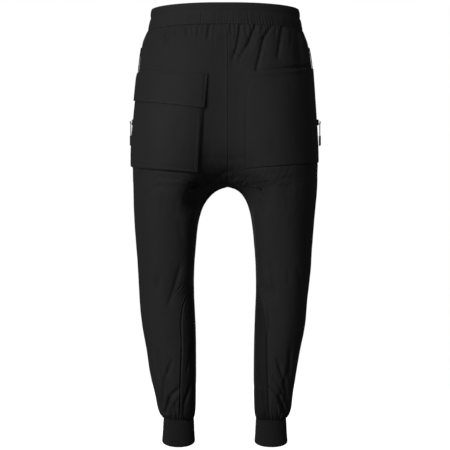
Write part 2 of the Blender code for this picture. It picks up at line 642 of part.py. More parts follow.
class Field:
    """A pocket's place on a panel. It follows the panel's own rows and columns between its edges."""

    def __init__(self, panel, tops, bottoms, inner_edge, between=()):
        self.panel = panel
        self.tops = tops
        self.bottoms = bottoms
        self.edge_x = curve_through(inner_edge, "share", "x")
        columns = range(int(EDGE_COLUMN) + 2)
        lowest_top = max(row_at(panel, c, self.height(c, 0.0)) for c in columns)
        highest_bottom = min(row_at(panel, c, self.height(c, 1.0)) for c in columns)
        if between:
            lowest_top = max(row_at(panel, c, self.height(c, between[-1])) for c in columns)
        rows = [i for i in range(len(LEVELS)) if lowest_top + 0.08 < i < highest_bottom - 0.08]
        self.marks = [Mark(None, 0.0)]
        self.marks += [Mark(None, share) for share in between]
        self.marks += [Mark(i, None) for i in rows]
        self.marks += [Mark(None, 1.0)]
        edges = [self.edge_column(mark) for mark in self.marks]
        self.whole = [c for c in range(1, BACK_COLUMNS) if c < min(edges) - 0.4]

    def height(self, column, share):
        """The field's height at a grid column and a share of the way down."""
        inwards = min(column / EDGE_COLUMN, 1.1)
        top = self.tops[0] + (self.tops[1] - self.tops[0]) * inwards
        bottom = self.bottoms[0] + (self.bottoms[1] - self.bottoms[0]) * inwards
        return top + (bottom - top) * share

    def row_of(self, mark, column):
        """The grid row of a mark at a column."""
        if mark.row is not None:
            return float(mark.row)
        return row_at(self.panel, column, self.height(column, mark.share))

    def share_of(self, row, column):
        """How far down the field a point of the grid lies."""
        height = grid_value(self.panel.points, row, column)[2]
        top = self.height(column, 0.0)
        return (top - height) / (top - self.height(column, 1.0))

    def edge_column(self, mark):
        """The fractional grid column of the inner edge at a mark."""
        column = EDGE_COLUMN
        places = np.arange(self.panel.columns + 1)
        for _ in range(6):
            row = self.row_of(mark, column)
            across = np.array([grid_value(self.panel.points, row, c)[0] for c in places]) * self.panel.half
            target = self.edge_x(min(max(self.share_of(row, column), 0.0), 1.0)) * self.panel.half
            column = float(np.interp(-target, -across, places))
        return column

    def columns_at(self, mark):
        """Grid columns of a mark, from the side seam inwards, with one more beside the inner edge."""
        edge = self.edge_column(mark)
        return [POCKET_SIDE_COLUMN] + self.whole + [0.5 * (self.whole[-1] + edge), edge]


def cargo_rise(column, share):
    """How far the cargo pocket's face stands off the panel."""
    hollow = CARGO_HOLLOW_TOP + (CARGO_HOLLOW - CARGO_HOLLOW_TOP) * smooth_step(share / 0.55)
    across = smooth_step(column / EDGE_COLUMN)
    return CLOTH + hollow * (CARGO_SIDE_SHARE + (1.0 - CARGO_SIDE_SHARE) * across)


def cargo_field(panel):
    """Where the cargo pocket's pouch lies."""
    return Field(panel, (CARGO_TOP_SIDE, CARGO_TOP_INNER), (CARGO_BOTTOM_SIDE, CARGO_BOTTOM_INNER),
                 CARGO_INNER_EDGE)


def make_cargo_pouch(panel, finish):
    """The cargo pocket: a face and a gusset on three sides, open at the top and to the panel."""
    field = cargo_field(panel)
    column_width = (on_panel(panel, 8, 9, 0.0) - on_panel(panel, 8, 10, 0.0)).length
    wall = CLOTH / column_width
    spread = CARGO_SPREAD / column_width
    length = CARGO_TOP_SIDE - CARGO_BOTTOM_SIDE

    def shell(inset):
        tuck = wall if inset else 0.0
        lift = CLOTH / length if inset else 0.0
        marks = field.marks[:-1] + [Mark(None, 1.0 - lift), Mark(None, 1.0 + GUSSET_DROP / length - lift)]
        grid = []
        for i, mark in enumerate(marks):
            foot = i == len(marks) - 1
            columns = field.columns_at(mark)
            columns[0] += tuck
            columns[-1] -= tuck
            places = [(columns[0] - GUSSET_SIDE / column_width, True)]
            places += [(column, foot) for column in columns]
            places += [(columns[-1] + spread, True)]
            row = []
            for column, sewn in places:
                line = field.row_of(mark, column)
                out = GUSSET_CLEAR
                if not sewn:
                    out += cargo_rise(column, field.share_of(line, column)) - (CLOTH if inset else 0.0)
                row.append(on_panel(panel, line, column, out))
            grid.append(row)
        return grid

    return closed_wall("cargo_pocket", shell(False), shell(True), finish)


def make_cargo_flap(panel, finish):
    """The cargo pocket's flap: sewn down along its top, hanging over the pouch."""
    field = Field(panel, (FLAP_TOP_SIDE, FLAP_TOP_INNER), (FLAP_BOTTOM_SIDE, FLAP_BOTTOM_INNER),
                  FLAP_INNER_EDGE, between=(FLAP_LIFT_SHARE,))
    pouch = cargo_field(panel)

    def sheet(wall):
        grid = []
        for i, mark in enumerate(field.marks):
            row = []
            for column in field.columns_at(mark):
                line = field.row_of(mark, column)
                under = FLAP_CLEAR
                if i > 0:
                    under += FLAP_LIFT + cargo_rise(column, max(pouch.share_of(line, column), 0.0))
                row.append(on_panel(panel, line, column, under + wall))
            grid.append(row)
        return grid

    return closed_wall("cargo_flap", sheet(FLAP_WALL), sheet(0.0), finish)


def make_patch_pocket(panel, finish):
    """The flat patch pocket on the wearer's right, its mouth a little open."""
    field = Field(panel, (PATCH_TOP_SIDE, PATCH_TOP_INNER), (PATCH_BOTTOM_SIDE, PATCH_BOTTOM_INNER),
                  PATCH_INNER_EDGE)

    def sheet(wall):
        grid = []
        for mark in field.marks:
            row = []
            for column in field.columns_at(mark):
                line = field.row_of(mark, column)
                lift = MOUTH_LIFT * (1.0 - smooth_step(field.share_of(line, column) / 0.25))
                row.append(on_panel(panel, line, column, PATCH_CLEAR + wall + lift))
            grid.append(row)
        return grid

    return closed_wall("patch_pocket", sheet(PATCH_WALL), sheet(0.0), finish)


# ---------------------------------------------------------------- zips

def seam_point(panels, word, height):
    """A point on the side seam."""
    panel = panels["back_" + word]
    return on_panel(panel, row_at(panel, 0, height), 0.0, 0.0)


def make_zip(panels, word, finish):
    """The closed chain of a zip, across the side seam from one panel to the other."""
    back = panels["back_" + word]
    front = panels["front_" + word]
    top = row_at(back, 0, ZIP_TOP)
    bottom = row_at(back, 0, ZIP_BOTTOM)
    rows = [top] + [i for i in range(len(LEVELS)) if top + 0.2 < i < bottom - 0.2] + [bottom]
    outer = []
    inner = []
    for row in rows:
        outer.append([])
        inner.append([])
        for panel, share, rise in ((front, 0.5, 0.55), (front, 0.2, 1.0), (back, 0.2, 1.0), (back, 0.5, 0.55)):
            width = (on_panel(panel, row, 0, 0.0) - on_panel(panel, row, 1, 0.0)).length
            column = share * ZIP_WIDTH / width
            outer[-1].append(on_panel(panel, row, column, ZIP_CLEAR + ZIP_HEIGHT * rise))
            inner[-1].append(on_panel(panel, row, column, ZIP_CLEAR))
    return closed_wall("zip_" + word, outer, inner, finish)


def bevelled_block(name, size, bevel, finish):
    """A block about its own centre, with bevelled edges."""
    mesh = bpy.data.meshes.new(name)
    shape = bmesh.new()
    bmesh.ops.create_cube(shape, size=1.0, matrix=Matrix.Diagonal((*size, 1.0)))
    bmesh.ops.bevel(shape, geom=shape.edges[:], offset=bevel, segments=1, affect="EDGES")
    shape.to_mesh(mesh)
    shape.free()
    return add_object(name, mesh, finish)


def swept_bar(name, path, wide, thick, across, finish, ring=False):
    """A bar of rectangular section along a flat path, which lies in the plane that across is square to."""
    mesh = bpy.data.meshes.new(name)
    shape = bmesh.new()
    count = len(path)
    rows = []
    for i, point in enumerate(path):
        before = path[i - 1] if ring or i > 0 else point
        after = path[(i + 1) % count] if ring or i < count - 1 else point
        along = (after - before).normalized()
        side = across.cross(along).normalized()
        corners = ((-0.5, -0.5), (0.5, -0.5), (0.5, 0.5), (-0.5, 0.5))
        rows.append([shape.verts.new(point + side * (a * thick) + across * (b * wide)) for a, b in corners])
    for i in range(count if ring else count - 1):
        near = rows[i]
        far = rows[(i + 1) % count]
        for k in range(4):
            shape.faces.new((near[k], near[(k + 1) % 4], far[(k + 1) % 4], far[k]))
    if not ring:
        shape.faces.new(rows[0])
        shape.faces.new(rows[-1])
    bmesh.ops.recalc_face_normals(shape, faces=shape.faces)
    shape.to_mesh(mesh)
    shape.free()
    return add_object(name, mesh, finish)


def join_solids(main, other):
    """Union the second solid into the first, and hide the second as a guide."""
    union = main.modifiers.new("union", "BOOLEAN")
    union.operation = "UNION"
    union.object = other
    other.hide_render = True
    other.hide_viewport = False
    other.display_type = "WIRE"
    other.parent = main


def make_slider(panels, word, half, finish):
    """The zip's slider with its bail, turned to lie along the seam. Gives the pull's hinge point."""
    centre = seam_point(panels, word, SLIDER_CENTRE)
    above = seam_point(panels, word, SLIDER_CENTRE + 0.5 * SLIDER_LENGTH)
    below = seam_point(panels, word, SLIDER_CENTRE - 0.5 * SLIDER_LENGTH)
    slope = math.atan2(half * (below.x - above.x), above.z - below.z)
    body = bevelled_block("slider_" + word, (SLIDER_HEIGHT, SLIDER_WIDTH, SLIDER_LENGTH), SLIDER_BEVEL, finish)
    floor = ZIP_CLEAR + ZIP_HEIGHT + SEAM_GAP
    out = Vector((half * math.cos(slope), 0.0, math.sin(slope)))
    body.rotation_euler = (0.0, -half * slope, 0.0)
    body.location = centre + out * (floor + 0.5 * SLIDER_HEIGHT)
    top = 0.5 * SLIDER_HEIGHT
    rise = BAIL_INSIDE + 0.5 * BAIL_WALL
    path = []
    for k in range(9):
        angle = math.pi * k / 8
        x = half * (top + rise * math.sin(angle))
        path.append(Vector((x, 0.0, 0.5 * (BAIL_LENGTH - BAIL_WALL) * math.cos(angle))))
    path.insert(0, path[0] - Vector((half * 0.5 * SLIDER_HEIGHT, 0.0, 0.0)))
    path.append(path[-1] - Vector((half * 0.5 * SLIDER_HEIGHT, 0.0, 0.0)))
    bail = swept_bar("bail_" + word, path, BAIL_WIDTH, BAIL_WALL, Vector((0.0, 1.0, 0.0)), finish)
    join_solids(body, bail)
    return body.location + out * (top + HINGE_HEIGHT)


def make_pull(word, half, hinge, finish):
    """The pull: a slim loop through the bail and a moulded tab, hanging straight down."""
    length = PULL_LOOP_LENGTH
    reach = 0.5 * (PULL_LOOP_WIDTH - PULL_WIRE)
    corner = 0.0016
    path = []
    for side_y, side_z, start in ((1, 0, 0), (-1, 0, 90), (-1, -1, 180), (1, -1, 270)):
        centre = Vector((0.0, side_y * (reach - corner), 0.0 if side_z == 0 else -length))
        centre.z += -corner if side_z == 0 else corner
        for k in range(3):
            angle = math.radians(start + 45 * k)
            path.append(centre + Vector((0.0, corner * math.cos(angle), corner * math.sin(angle))))
    loop = swept_bar("pull_" + word, path, PULL_WIRE, PULL_WIRE, Vector((1.0, 0.0, 0.0)), finish, ring=True)
    loop.location = hinge
    tab = bevelled_block("tab_" + word, (TAB_THICKNESS, TAB_WIDTH, TAB_LENGTH), TAB_BEVEL, finish)
    tab.location = (0.0, 0.0, -(length - 0.0020 + 0.5 * TAB_LENGTH))
    join_solids(loop, tab)
    return loop


# ---------------------------------------------------------------- the whole garment

def clear_scene():
    """Start from an empty scene."""
    for old in list(bpy.data.objects):
        bpy.data.objects.remove(old, do_unlink=True)


def build():
    """Make every piece of the joggers."""
    clear_scene()
    cloth = material("matt_black_cloth", (0.022, 0.022, 0.023), 0.85)
    knit = material("black_rib_knit", (0.020, 0.020, 0.021), 0.92)
    moulded = material("black_moulded_plastic", (0.008, 0.008, 0.009), 0.45)
    panels = make_panels()
    make_body(panels, cloth)
    make_waistband(cloth)
    make_cuff("cuff_left", 1, knit)
    make_cuff("cuff_right", -1, knit)
    make_cargo_pouch(panels["back_left"], cloth)
    make_cargo_flap(panels["back_left"], cloth)
    make_patch_pocket(panels["back_right"], cloth)
    for word, half in (("left", 1), ("right", -1)):
        make_zip(panels, word, moulded)
        hinge = make_slider(panels, word, half, moulded)
        make_pull(word, half, hinge, moulded)


build()
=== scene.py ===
# %% [markdown]
# # Drop-crotch joggers, seen from behind
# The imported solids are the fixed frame: they say where every cut piece is. This lesson dresses
# them. Each wall of cloth becomes a finer shell with its creases and gathers, the rib cuffs are
# knitted, the seams are stitched and the zips get their teeth.

# %% Load the frame
import math
from collections import namedtuple

import bmesh
import bpy
import numpy as np
from mathutils import Matrix, Vector, noise
from mathutils.bvhtree import BVHTree


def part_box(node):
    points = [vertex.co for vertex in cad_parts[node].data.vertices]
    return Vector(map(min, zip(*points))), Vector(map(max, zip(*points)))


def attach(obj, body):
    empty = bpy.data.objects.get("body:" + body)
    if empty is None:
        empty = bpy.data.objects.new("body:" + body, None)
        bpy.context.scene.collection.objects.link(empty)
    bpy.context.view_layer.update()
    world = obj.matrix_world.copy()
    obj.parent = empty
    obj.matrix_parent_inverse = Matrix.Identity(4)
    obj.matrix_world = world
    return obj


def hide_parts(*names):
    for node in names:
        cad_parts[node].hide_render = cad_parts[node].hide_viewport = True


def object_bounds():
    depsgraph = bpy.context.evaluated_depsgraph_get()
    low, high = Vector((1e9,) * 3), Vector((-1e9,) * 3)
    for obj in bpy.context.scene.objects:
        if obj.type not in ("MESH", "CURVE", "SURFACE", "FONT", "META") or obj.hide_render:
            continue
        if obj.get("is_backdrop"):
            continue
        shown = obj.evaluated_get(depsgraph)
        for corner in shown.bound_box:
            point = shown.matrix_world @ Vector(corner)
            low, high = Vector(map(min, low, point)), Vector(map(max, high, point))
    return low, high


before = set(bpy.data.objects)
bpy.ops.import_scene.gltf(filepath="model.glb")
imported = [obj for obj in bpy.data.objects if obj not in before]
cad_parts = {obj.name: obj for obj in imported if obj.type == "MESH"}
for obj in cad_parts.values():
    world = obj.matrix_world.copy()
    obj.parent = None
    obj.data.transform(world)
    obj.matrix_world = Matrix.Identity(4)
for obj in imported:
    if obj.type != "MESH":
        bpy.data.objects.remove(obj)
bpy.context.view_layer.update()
print("solids:", sorted(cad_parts))

# %% [markdown]
# Some jobs come back in every step: putting a mesh in the scene, turning its faces outwards,
# applying its modifiers, and a soft rise from 0 to 1.

# %% Helpers
MM = 0.001


def smooth_step(t):
    """0 below 0, 1 above 1, and a soft rise between."""
    t = np.clip(t, 0.0, 1.0)
    return t * t * (3.0 - 2.0 * t)


def add_object(name, data):
    """A new object at the origin."""
    made = bpy.data.objects.new(name, data)
    bpy.context.scene.collection.objects.link(made)
    return made


def add_piece(name, points, faces):
    """A new object of points and faces, with its faces turned outwards."""
    mesh = bpy.data.meshes.new(name)
    mesh.from_pydata([tuple(point) for point in points], [], faces)
    shape = bmesh.new()
    shape.from_mesh(mesh)
    bmesh.ops.recalc_face_normals(shape, faces=shape.faces)
    shape.to_mesh(mesh)
    shape.free()
    return add_object(name, mesh)


def apply_modifiers(piece):
    """Replace a piece's mesh by what its modifiers make of it."""
    graph = bpy.context.evaluated_depsgraph_get()
    mesh = bpy.data.meshes.new_from_object(piece.evaluated_get(graph))
    piece.modifiers.clear()
    piece.data = mesh
    mesh.name = piece.name


def outer_area(piece):
    """The area of one face of a wall of cloth, which is half of all its surface."""
    return round(sum(face.area for face in piece.data.polygons) / 2, 4)


# %% [markdown]
# ## Camera and studio
# The photograph looks straight at the back, level with the middle of the garment. A long lens
# three metres away gives its nearly parallel view. The back faces +Y, so the camera stands there.

# %% Camera
CAMERA_DISTANCE = 3.0
CAMERA_HEIGHT = -0.458
SEEN_WIDTH = 1.011          # metres across the picture, at the garment
SENSOR = 36.0

lens = bpy.data.cameras.new("camera")
lens.sensor_width = SENSOR
lens.lens = SENSOR * CAMERA_DISTANCE / SEEN_WIDTH
camera = add_object("camera", lens)
camera.location = (0.0, CAMERA_DISTANCE, CAMERA_HEIGHT)
camera.rotation_euler = (math.radians(90), 0.0, math.radians(180))
bpy.context.scene.camera = camera
bpy.context.scene.view_settings.view_transform = "Standard"
print("focal length:", round(lens.lens, 1), "mm")

# %% Places in the picture
PICTURE = 450               # the picture's width and height, in its own small squares
SQUARE = SEEN_WIDTH / PICTURE


def picture_place(points):
    """Where points of the garment lie in the picture: squares from its left and from its top."""
    nearer = CAMERA_DISTANCE / (CAMERA_DISTANCE - points[:, 1]) / SQUARE
    return PICTURE / 2 - points[:, 0] * nearer, PICTURE / 2 - (points[:, 2] - CAMERA_HEIGHT) * nearer


def picture_ray(across, down):
    """The line of sight through a place in the picture, as its start and its direction."""
    start = Vector((0.0, CAMERA_DISTANCE, CAMERA_HEIGHT))
    aim = Vector(((PICTURE / 2 - across) * SQUARE, 0.0, CAMERA_HEIGHT + (PICTURE / 2 - down) * SQUARE))
    return start, (aim - start).normalized()


# %% [markdown]
# Black cloth shows its folds only where light rakes over it. A large soft light stands behind the
# wearer's left shoulder, weaker ones on the right and above, and two more light the front for
# other views. The pale dome is seen by the camera and lights nothing, so it never whitens the
# cloth's edges.

# %% Lights, floor and dome
AIM = Vector((0.0, 0.0, -0.45))
AMBIENT = 0.07
FLOOR = -0.99
FLOOR_RADIUS = 1.5
DOME_RADIUS = 9.0
Light = namedtuple("Light", "name place size power")
LIGHTS = (
    Light("key", (1.95, 2.48, 0.40), 1.3, 76.0),
    Light("fill", (-1.8, 2.5, -0.2), 1.8, 6.0),
    Light("top", (0.3, 0.6, 2.4), 1.5, 6.0),
    Light("front_key", (-0.35, -3.4, 1.0), 0.9, 34.0),
    Light("front_fill", (0.45, -3.4, -0.3), 0.9, 6.0),
)
for light in LIGHTS:
    data = bpy.data.lights.new(light.name, "AREA")
    data.size = light.size
    data.energy = light.power
    lamp = add_object(light.name, data)
    lamp.location = light.place
    lamp.rotation_euler = (AIM - Vector(light.place)).to_track_quat("-Z", "Y").to_euler()

world = bpy.data.worlds.new("studio")
world.use_nodes = True
world.node_tree.nodes["Background"].inputs["Color"].default_value = (1.0, 1.0, 1.0, 1.0)
world.node_tree.nodes["Background"].inputs["Strength"].default_value = AMBIENT
bpy.context.scene.world = world


def add_stage(name, shape, glow, colour, unseen):
    """A plain pale surface that isn't part of the garment, and the kinds of ray that pass it."""
    mesh = bpy.data.meshes.new(name)
    shape.to_mesh(mesh)
    shape.free()
    plain = bpy.data.materials.new(name)
    plain.use_nodes = True
    shader = plain.node_tree.nodes["Principled BSDF"]
    shader.inputs["Base Color"].default_value = (colour, colour, colour, 1.0)
    shader.inputs["Roughness"].default_value = 0.9
    shader.inputs["Specular IOR Level"].default_value = 0.0
    shader.inputs["Emission Color"].default_value = (1.0, 1.0, 1.0, 1.0)
    shader.inputs["Emission Strength"].default_value = glow
    mesh.materials.append(plain)
    made = add_object(name, mesh)
    made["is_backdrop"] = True
    for ray in unseen:
        setattr(made, "visible_" + ray, False)


shape = bmesh.new()
bmesh.ops.create_circle(shape, cap_ends=True, segments=96, radius=FLOOR_RADIUS,
                        matrix=Matrix.Translation((0.0, 0.0, FLOOR)))
add_stage("floor", shape, 0.9, 0.75, ("diffuse", "glossy"))
shape = bmesh.new()
bmesh.ops.create_icosphere(shape, subdivisions=4, radius=DOME_RADIUS)
add_stage("dome", shape, 1.0, 0.0, ("diffuse", "glossy", "transmission", "shadow"))

# %% [markdown]
# ## Writing materials as sums
# A material is a graph of nodes. Reading the graph is easier when its maths is written as maths,
# so a small class wraps an output socket, and its operators add the Math nodes.

# %% A socket that can be added and multiplied


class Reading:
    """A number that varies over the surface."""

    def __init__(self, finish, socket):
        self.finish = finish
        self.socket = socket

    def worked(self, operation, *others):
        made = self.finish.node("ShaderNodeMath", dict(enumerate((self, *others))), operation=operation)
        return Reading(self.finish, made.outputs[0])

    def __add__(self, other):
        return self.worked("ADD", other)

    def __mul__(self, other):
        return self.worked("MULTIPLY", other)

    def sine(self):
        return self.worked("SINE")

    def size(self):
        return self.worked("ABSOLUTE")

    __radd__ = __add__


def add_node(tree, kind, inputs, **settings):
    """A node with its settings, and its sockets set or linked."""
    made = tree.nodes.new(kind)
    for key, value in settings.items():
        setattr(made, key, value)
    set_sockets(tree, made, inputs)
    return made


def set_sockets(tree, node, inputs):
    """Give a node's sockets their values, or link them to other nodes."""
    for key, value in inputs.items():
        if isinstance(value, Reading):
            value = value.socket
        if isinstance(value, bpy.types.NodeSocket):
            tree.links.new(value, node.inputs[key])
        else:
            node.inputs[key].default_value = value


class Finish:
    """A material built round one Principled shader."""

    def __init__(self, name, colour, **fixed):
        self.material = bpy.data.materials.new(name)
        self.material.use_nodes = True
        self.material.diffuse_color = (*colour, 1.0)
        self.tree = self.material.node_tree
        self.put({"Base Color": (*colour, 1.0)})
        self.put({key.replace("_", " "): value for key, value in fixed.items()})

    def put(self, inputs):
        """Set or link sockets of the shader."""
        set_sockets(self.tree, self.tree.nodes["Principled BSDF"], inputs)

    def node(self, kind, inputs, **settings):
        """Any other node."""
        return add_node(self.tree, kind, inputs, **settings)

    def noise(self, place, scale, detail, roughness):
        """Noise from 0 to 1."""
        made = self.node("ShaderNodeTexNoise",
                         {"Vector": place, "Scale": scale, "Detail": detail, "Roughness": roughness})
        return Reading(self, made.outputs[0])

    def place(self):
        """The point's place on the garment, in metres."""
        return self.node("ShaderNodeTexCoord", {}).outputs["Object"]

    def thread(self):
        """How far round and how far down the cloth a point lies, in metres."""
        named = self.node("ShaderNodeAttribute", {}, attribute_name="thread")
        split = self.node("ShaderNodeSeparateXYZ", {0: named.outputs["Vector"]})
        return Reading(self, split.outputs[0]), Reading(self, split.outputs[1])

    def finished(self, tone, dark, light, roughness, height, distance, strength):
        """The material, its colour between two tones and its bump from a height between 0 and 1."""
        mixed = self.node("ShaderNodeMix", {0: tone, 6: (*dark, 1.0), 7: (*light, 1.0)}, data_type="RGBA")
        bump = self.node("ShaderNodeBump", {"Height": height, "Distance": distance, "Strength": strength})
        self.put({"Base Color": mixed.outputs[2], "Roughness": roughness, "Normal": bump.outputs[0]})
        return self.material


# %% [markdown]
# ## The finishes
# The cloth is a fine, matt, black plain weave. Its threads are half a millimetre apart, so they
# show only close up, as a tight grid of bumps, and the cloth's tone wanders a little as on any
# dyed cotton. The calf insets are a darker cloth. The cuffs are rib knit, the zips and pulls
# moulded black plastic. Noise scales are in features to the metre.

# %% Cloth
THREAD = 0.00055            # distance between two threads
RIB_COLUMN = 0.0019         # and of the knit: between two columns, and between two rows
RIB_ROW = 0.0013
TAPE_RIB = 0.0009
CLOTH_TONES = (0.0165, 0.0165, 0.0172), (0.0240, 0.0238, 0.0246)


def make_cloth(name, shade):
    """Matt black plain weave, darker where shade is below 1."""
    cloth = Finish(name, (0.022 * shade, 0.022 * shade, 0.023 * shade), Specular_IOR_Level=0.12,
                   Sheen_Weight=0.02, Sheen_Roughness=0.45)
    place = cloth.place()
    around, down = cloth.thread()
    weft = (around * (math.pi / THREAD)).sine()
    warp = (down * (math.pi / THREAD)).sine()
    weave = weft * warp * 0.5 + 0.5
    slub = cloth.noise(place, 420.0, 3.0, 0.6)
    cloud = cloth.noise(place, 9.0, 4.0, 0.55)
    rumple = cloth.noise(place, 46.0, 4.0, 0.5)
    dark, light = ([part * shade for part in tone] for tone in CLOTH_TONES)
    return cloth.finished(cloud * 0.7 + slub * 0.3, dark, light, 0.70 + slub * 0.14,
                          weave * 0.10 + slub * 0.12 + rumple * 0.78, 0.0016, 0.55)


def make_rib_knit():
    """Rib knit: columns of small V stitches."""
    knit = Finish("rib_knit", (0.020, 0.020, 0.021), Specular_IOR_Level=0.16, Sheen_Weight=0.06,
                  Sheen_Roughness=0.5)
    around, down = knit.thread()
    leaning = (around * (math.tau / RIB_COLUMN)).sine().size() * 0.0005
    stitch = ((down + leaning) * (math.tau / RIB_ROW)).sine() * 0.5 + 0.5
    fuzz = knit.noise(knit.place(), 900.0, 3.0, 0.6)
    # The stitch wave also lightens the colour on the stitches and darkens it in the hollows between them:
    # painted shade. The fuzz in the tone is the yarn's own uneven colour.
    return knit.finished(fuzz * 0.6 + stitch * 0.4, (0.0085, 0.0085, 0.0092), (0.0160, 0.0160, 0.0168),
                         0.86 + fuzz * 0.10, stitch * 0.7 + fuzz * 0.3, 0.0005, 0.7)


def make_moulded():
    """Smooth black plastic with a faint moulded grain."""
    plastic = Finish("moulded_plastic", (0.008, 0.008, 0.009), Specular_IOR_Level=0.45)
    place = plastic.place()
    grain = plastic.noise(place, 1500.0, 2.0, 0.5)
    rubbed = plastic.noise(place, 160.0, 3.0, 0.6)
    return plastic.finished(rubbed, (0.006, 0.006, 0.007), (0.013, 0.013, 0.014), 0.34 + rubbed * 0.20,
                            grain, 0.0001, 0.35)


def make_tape():
    """The zip's woven tape."""
    tape = Finish("zip_tape", (0.014, 0.014, 0.015), Specular_IOR_Level=0.3)
    around, down = tape.thread()
    rib = ((down + around.size() * 0.6) * (math.tau / TAPE_RIB)).sine() * 0.5 + 0.5
    # The rib wave also darkens the colour in the furrows between the ribs and lightens it on their tops:
    # painted shade.
    return tape.finished(rib, (0.010, 0.010, 0.011), (0.019, 0.019, 0.020), 0.72 + rib * 0.12,
                         rib, 0.0002, 0.6)


def make_thread():
    """Black sewing thread, a little shinier than the cloth."""
    yarn = Finish("sewing_thread", (0.030, 0.030, 0.031), Specular_IOR_Level=0.5)
    twist = yarn.noise(yarn.place(), 2600.0, 2.0, 0.5)
    return yarn.finished(twist, (0.022, 0.022, 0.023), (0.040, 0.040, 0.041), 0.46 + twist * 0.15,
                         twist, 0.0001, 0.4)


CLOTH = make_cloth("woven_cloth", 1.0)
INSET_CLOTH = make_cloth("inset_cloth", 0.60)
RIB_KNIT = make_rib_knit()
MOULDED = make_moulded()
TAPE = make_tape()
THREADS = make_thread()
print("materials:", [m.name for m in (CLOTH, INSET_CLOTH, RIB_KNIT, MOULDED, TAPE, THREADS)])

# %% [markdown]
# ## Creases
# Cloth that hangs from a gathered waist falls in soft troughs, and where a drop crotch or a knee
# bends it, short creases fan out. Each row of the table is one trough, from one point to another,
# as seen from behind or from the front, in millimetres: where it starts, where it ends, its width
# and its depth. They sharpen and add to the folds of the solids.

# %% The table of creases
BACK, FRONT = 1, -1
Crease = namedtuple("Crease", "x_top z_top x_end z_end width depth")
BACK_ROWS = (
    # under the waistband
    (131, -30, 128, -66, 4.2, 3.0), (120, -27, 121, -46, 3.6, 1.6), (34, -26, 37, -56, 4.2, 3.0),
    (84, -27, 80, -52, 4.2, 1.8), (72, -27, 70, -44, 3.6, 1.4), (58, -27, 60, -46, 3.6, 1.6),
    (46, -27, 47, -42, 3.4, 1.3), (108, -28, 106, -54, 4.2, 1.8), (16, -27, 18, -44, 3.6, 1.4),
    (-13, -27, -14, -46, 3.8, 1.5), (-34, -26, -26, -78, 4.2, 3.6), (-26, -78, -17, -101, 4.5, 2.8),
    (-20, -83, -36, -94, 4.0, 2.8), (-67, -26, -54, -60, 4.8, 3.0), (-54, -60, -30, -104, 4.8, 2.6),
    (-100, -28, -84, -56, 5.0, 2.6), (-84, -56, -67, -130, 4.8, 3.4), (-125, -28, -114, -97, 5.0, 2.8),
    (-45, -27, -46, -50, 3.5, 1.4), (-82, -27, -78, -44, 3.8, 1.3), (-112, -27, -108, -48, 3.8, 1.4),
    (-147, -30, -142, -70, 5.0, 1.4), (-159, -36, -167, -104, 7.5, 2.2), (150, -30, 156, -60, 5.0, 1.3),
    (163, -34, 168, -110, 4.5, 1.8), (172, -36, 178, -98, 4.0, 1.4),
    # thighs and knees
    (36, -364, 64, -380, 4.2, 1.6), (64, -380, 77, -400, 4.2, 1.8), (-50, -367, -80, -394, 4.4, 1.2),
    (140, -372, 176, -392, 9.0, 1.3), (100, -452, 92, -500, 8.0, 1.2), (97, -546, 110, -594, 6.0, 2.2),
    (110, -594, 123, -630, 6.0, 1.8), (146, -575, 147, -600, 7.0, 1.8), (162, -540, 172, -590, 7.0, 1.1),
    (-130, -380, -172, -396, 9.0, 1.2), (-97, -546, -112, -610, 6.2, 2.0),
    (-138, -560, -139, -586, 7.0, 1.2), (-160, -552, -168, -600, 7.0, 1.0),
    # calves
    (148, -736, 146, -788, 5.5, 2.6), (116, -757, 133, -798, 5.2, 3.4), (133, -798, 139, -858, 5.2, 3.6),
    (100, -815, 121, -834, 5.0, 3.0), (121, -834, 131, -872, 5.0, 3.4), (145, -846, 140, -874, 4.2, 2.2),
    (75, -806, 90, -850, 4.8, 2.4), (75, -726, 71, -796, 5.5, 2.0), (110, -850, 116, -880, 4.0, 1.4),
    (-143, -736, -141, -788, 5.5, 2.6), (-114, -753, -131, -802, 5.2, 3.2),
    (-131, -802, -138, -856, 5.2, 3.5), (-99, -815, -121, -836, 5.0, 3.0),
    (-121, -836, -130, -868, 5.0, 3.4), (-142, -850, -138, -874, 4.2, 2.0),
    (-74, -800, -88, -845, 4.8, 2.4), (-108, -848, -112, -880, 4.0, 1.3),
)
FRONT_ROWS = (
    # under the waistband
    (12, -27, 10, -58, 5.0, 1.4), (40, -27, 30, -92, 6.5, 2.0), (66, -27, 58, -64, 5.0, 1.6),
    (95, -27, 74, -110, 6.5, 2.2), (120, -28, 114, -60, 5.0, 1.5), (145, -30, 140, -88, 6.0, 1.8),
    (-20, -27, -22, -52, 4.8, 1.4), (-52, -27, -40, -104, 6.5, 2.2), (-80, -27, -76, -60, 5.0, 1.5),
    (-108, -27, -92, -92, 6.2, 1.9), (-130, -28, -128, -58, 5.0, 1.4), (-152, -32, -156, -100, 6.0, 1.8),
    # from the crotch
    (12, -345, 82, -300, 7.0, 2.0), (20, -358, 96, -340, 6.0, 1.8), (24, -366, 76, -392, 5.5, 1.8),
    (-24, -345, -92, -310, 7.0, 2.0), (-30, -358, -104, -346, 6.0, 1.7), (-36, -366, -80, -390, 5.5, 1.8),
    # thighs and knees
    (96, -552, 152, -572, 7.5, 2.0), (102, -590, 148, -600, 7.0, 1.5), (100, -512, 142, -530, 8.0, 1.2),
    (-93, -570, -148, -556, 7.5, 1.9), (-102, -602, -146, -594, 7.0, 1.4),
    (-96, -520, -140, -516, 8.0, 1.2),
    # calves
    (85, -770, 128, -812, 6.0, 1.8), (128, -812, 136, -860, 5.5, 1.7), (80, -830, 106, -862, 5.0, 1.5),
    (-85, -780, -126, -818, 6.0, 1.8), (-126, -818, -134, -862, 5.5, 1.7),
    (-80, -836, -104, -866, 5.0, 1.4),
)
CREASES = {face: [Crease(*(size * MM for size in row)) for row in rows]
           for face, rows in ((BACK, BACK_ROWS), (FRONT, FRONT_ROWS))}
RIDGE_SHARE = 0.8           # how strongly the cloth stands up beside a trough
print("creases:", {face: len(rows) for face, rows in CREASES.items()})

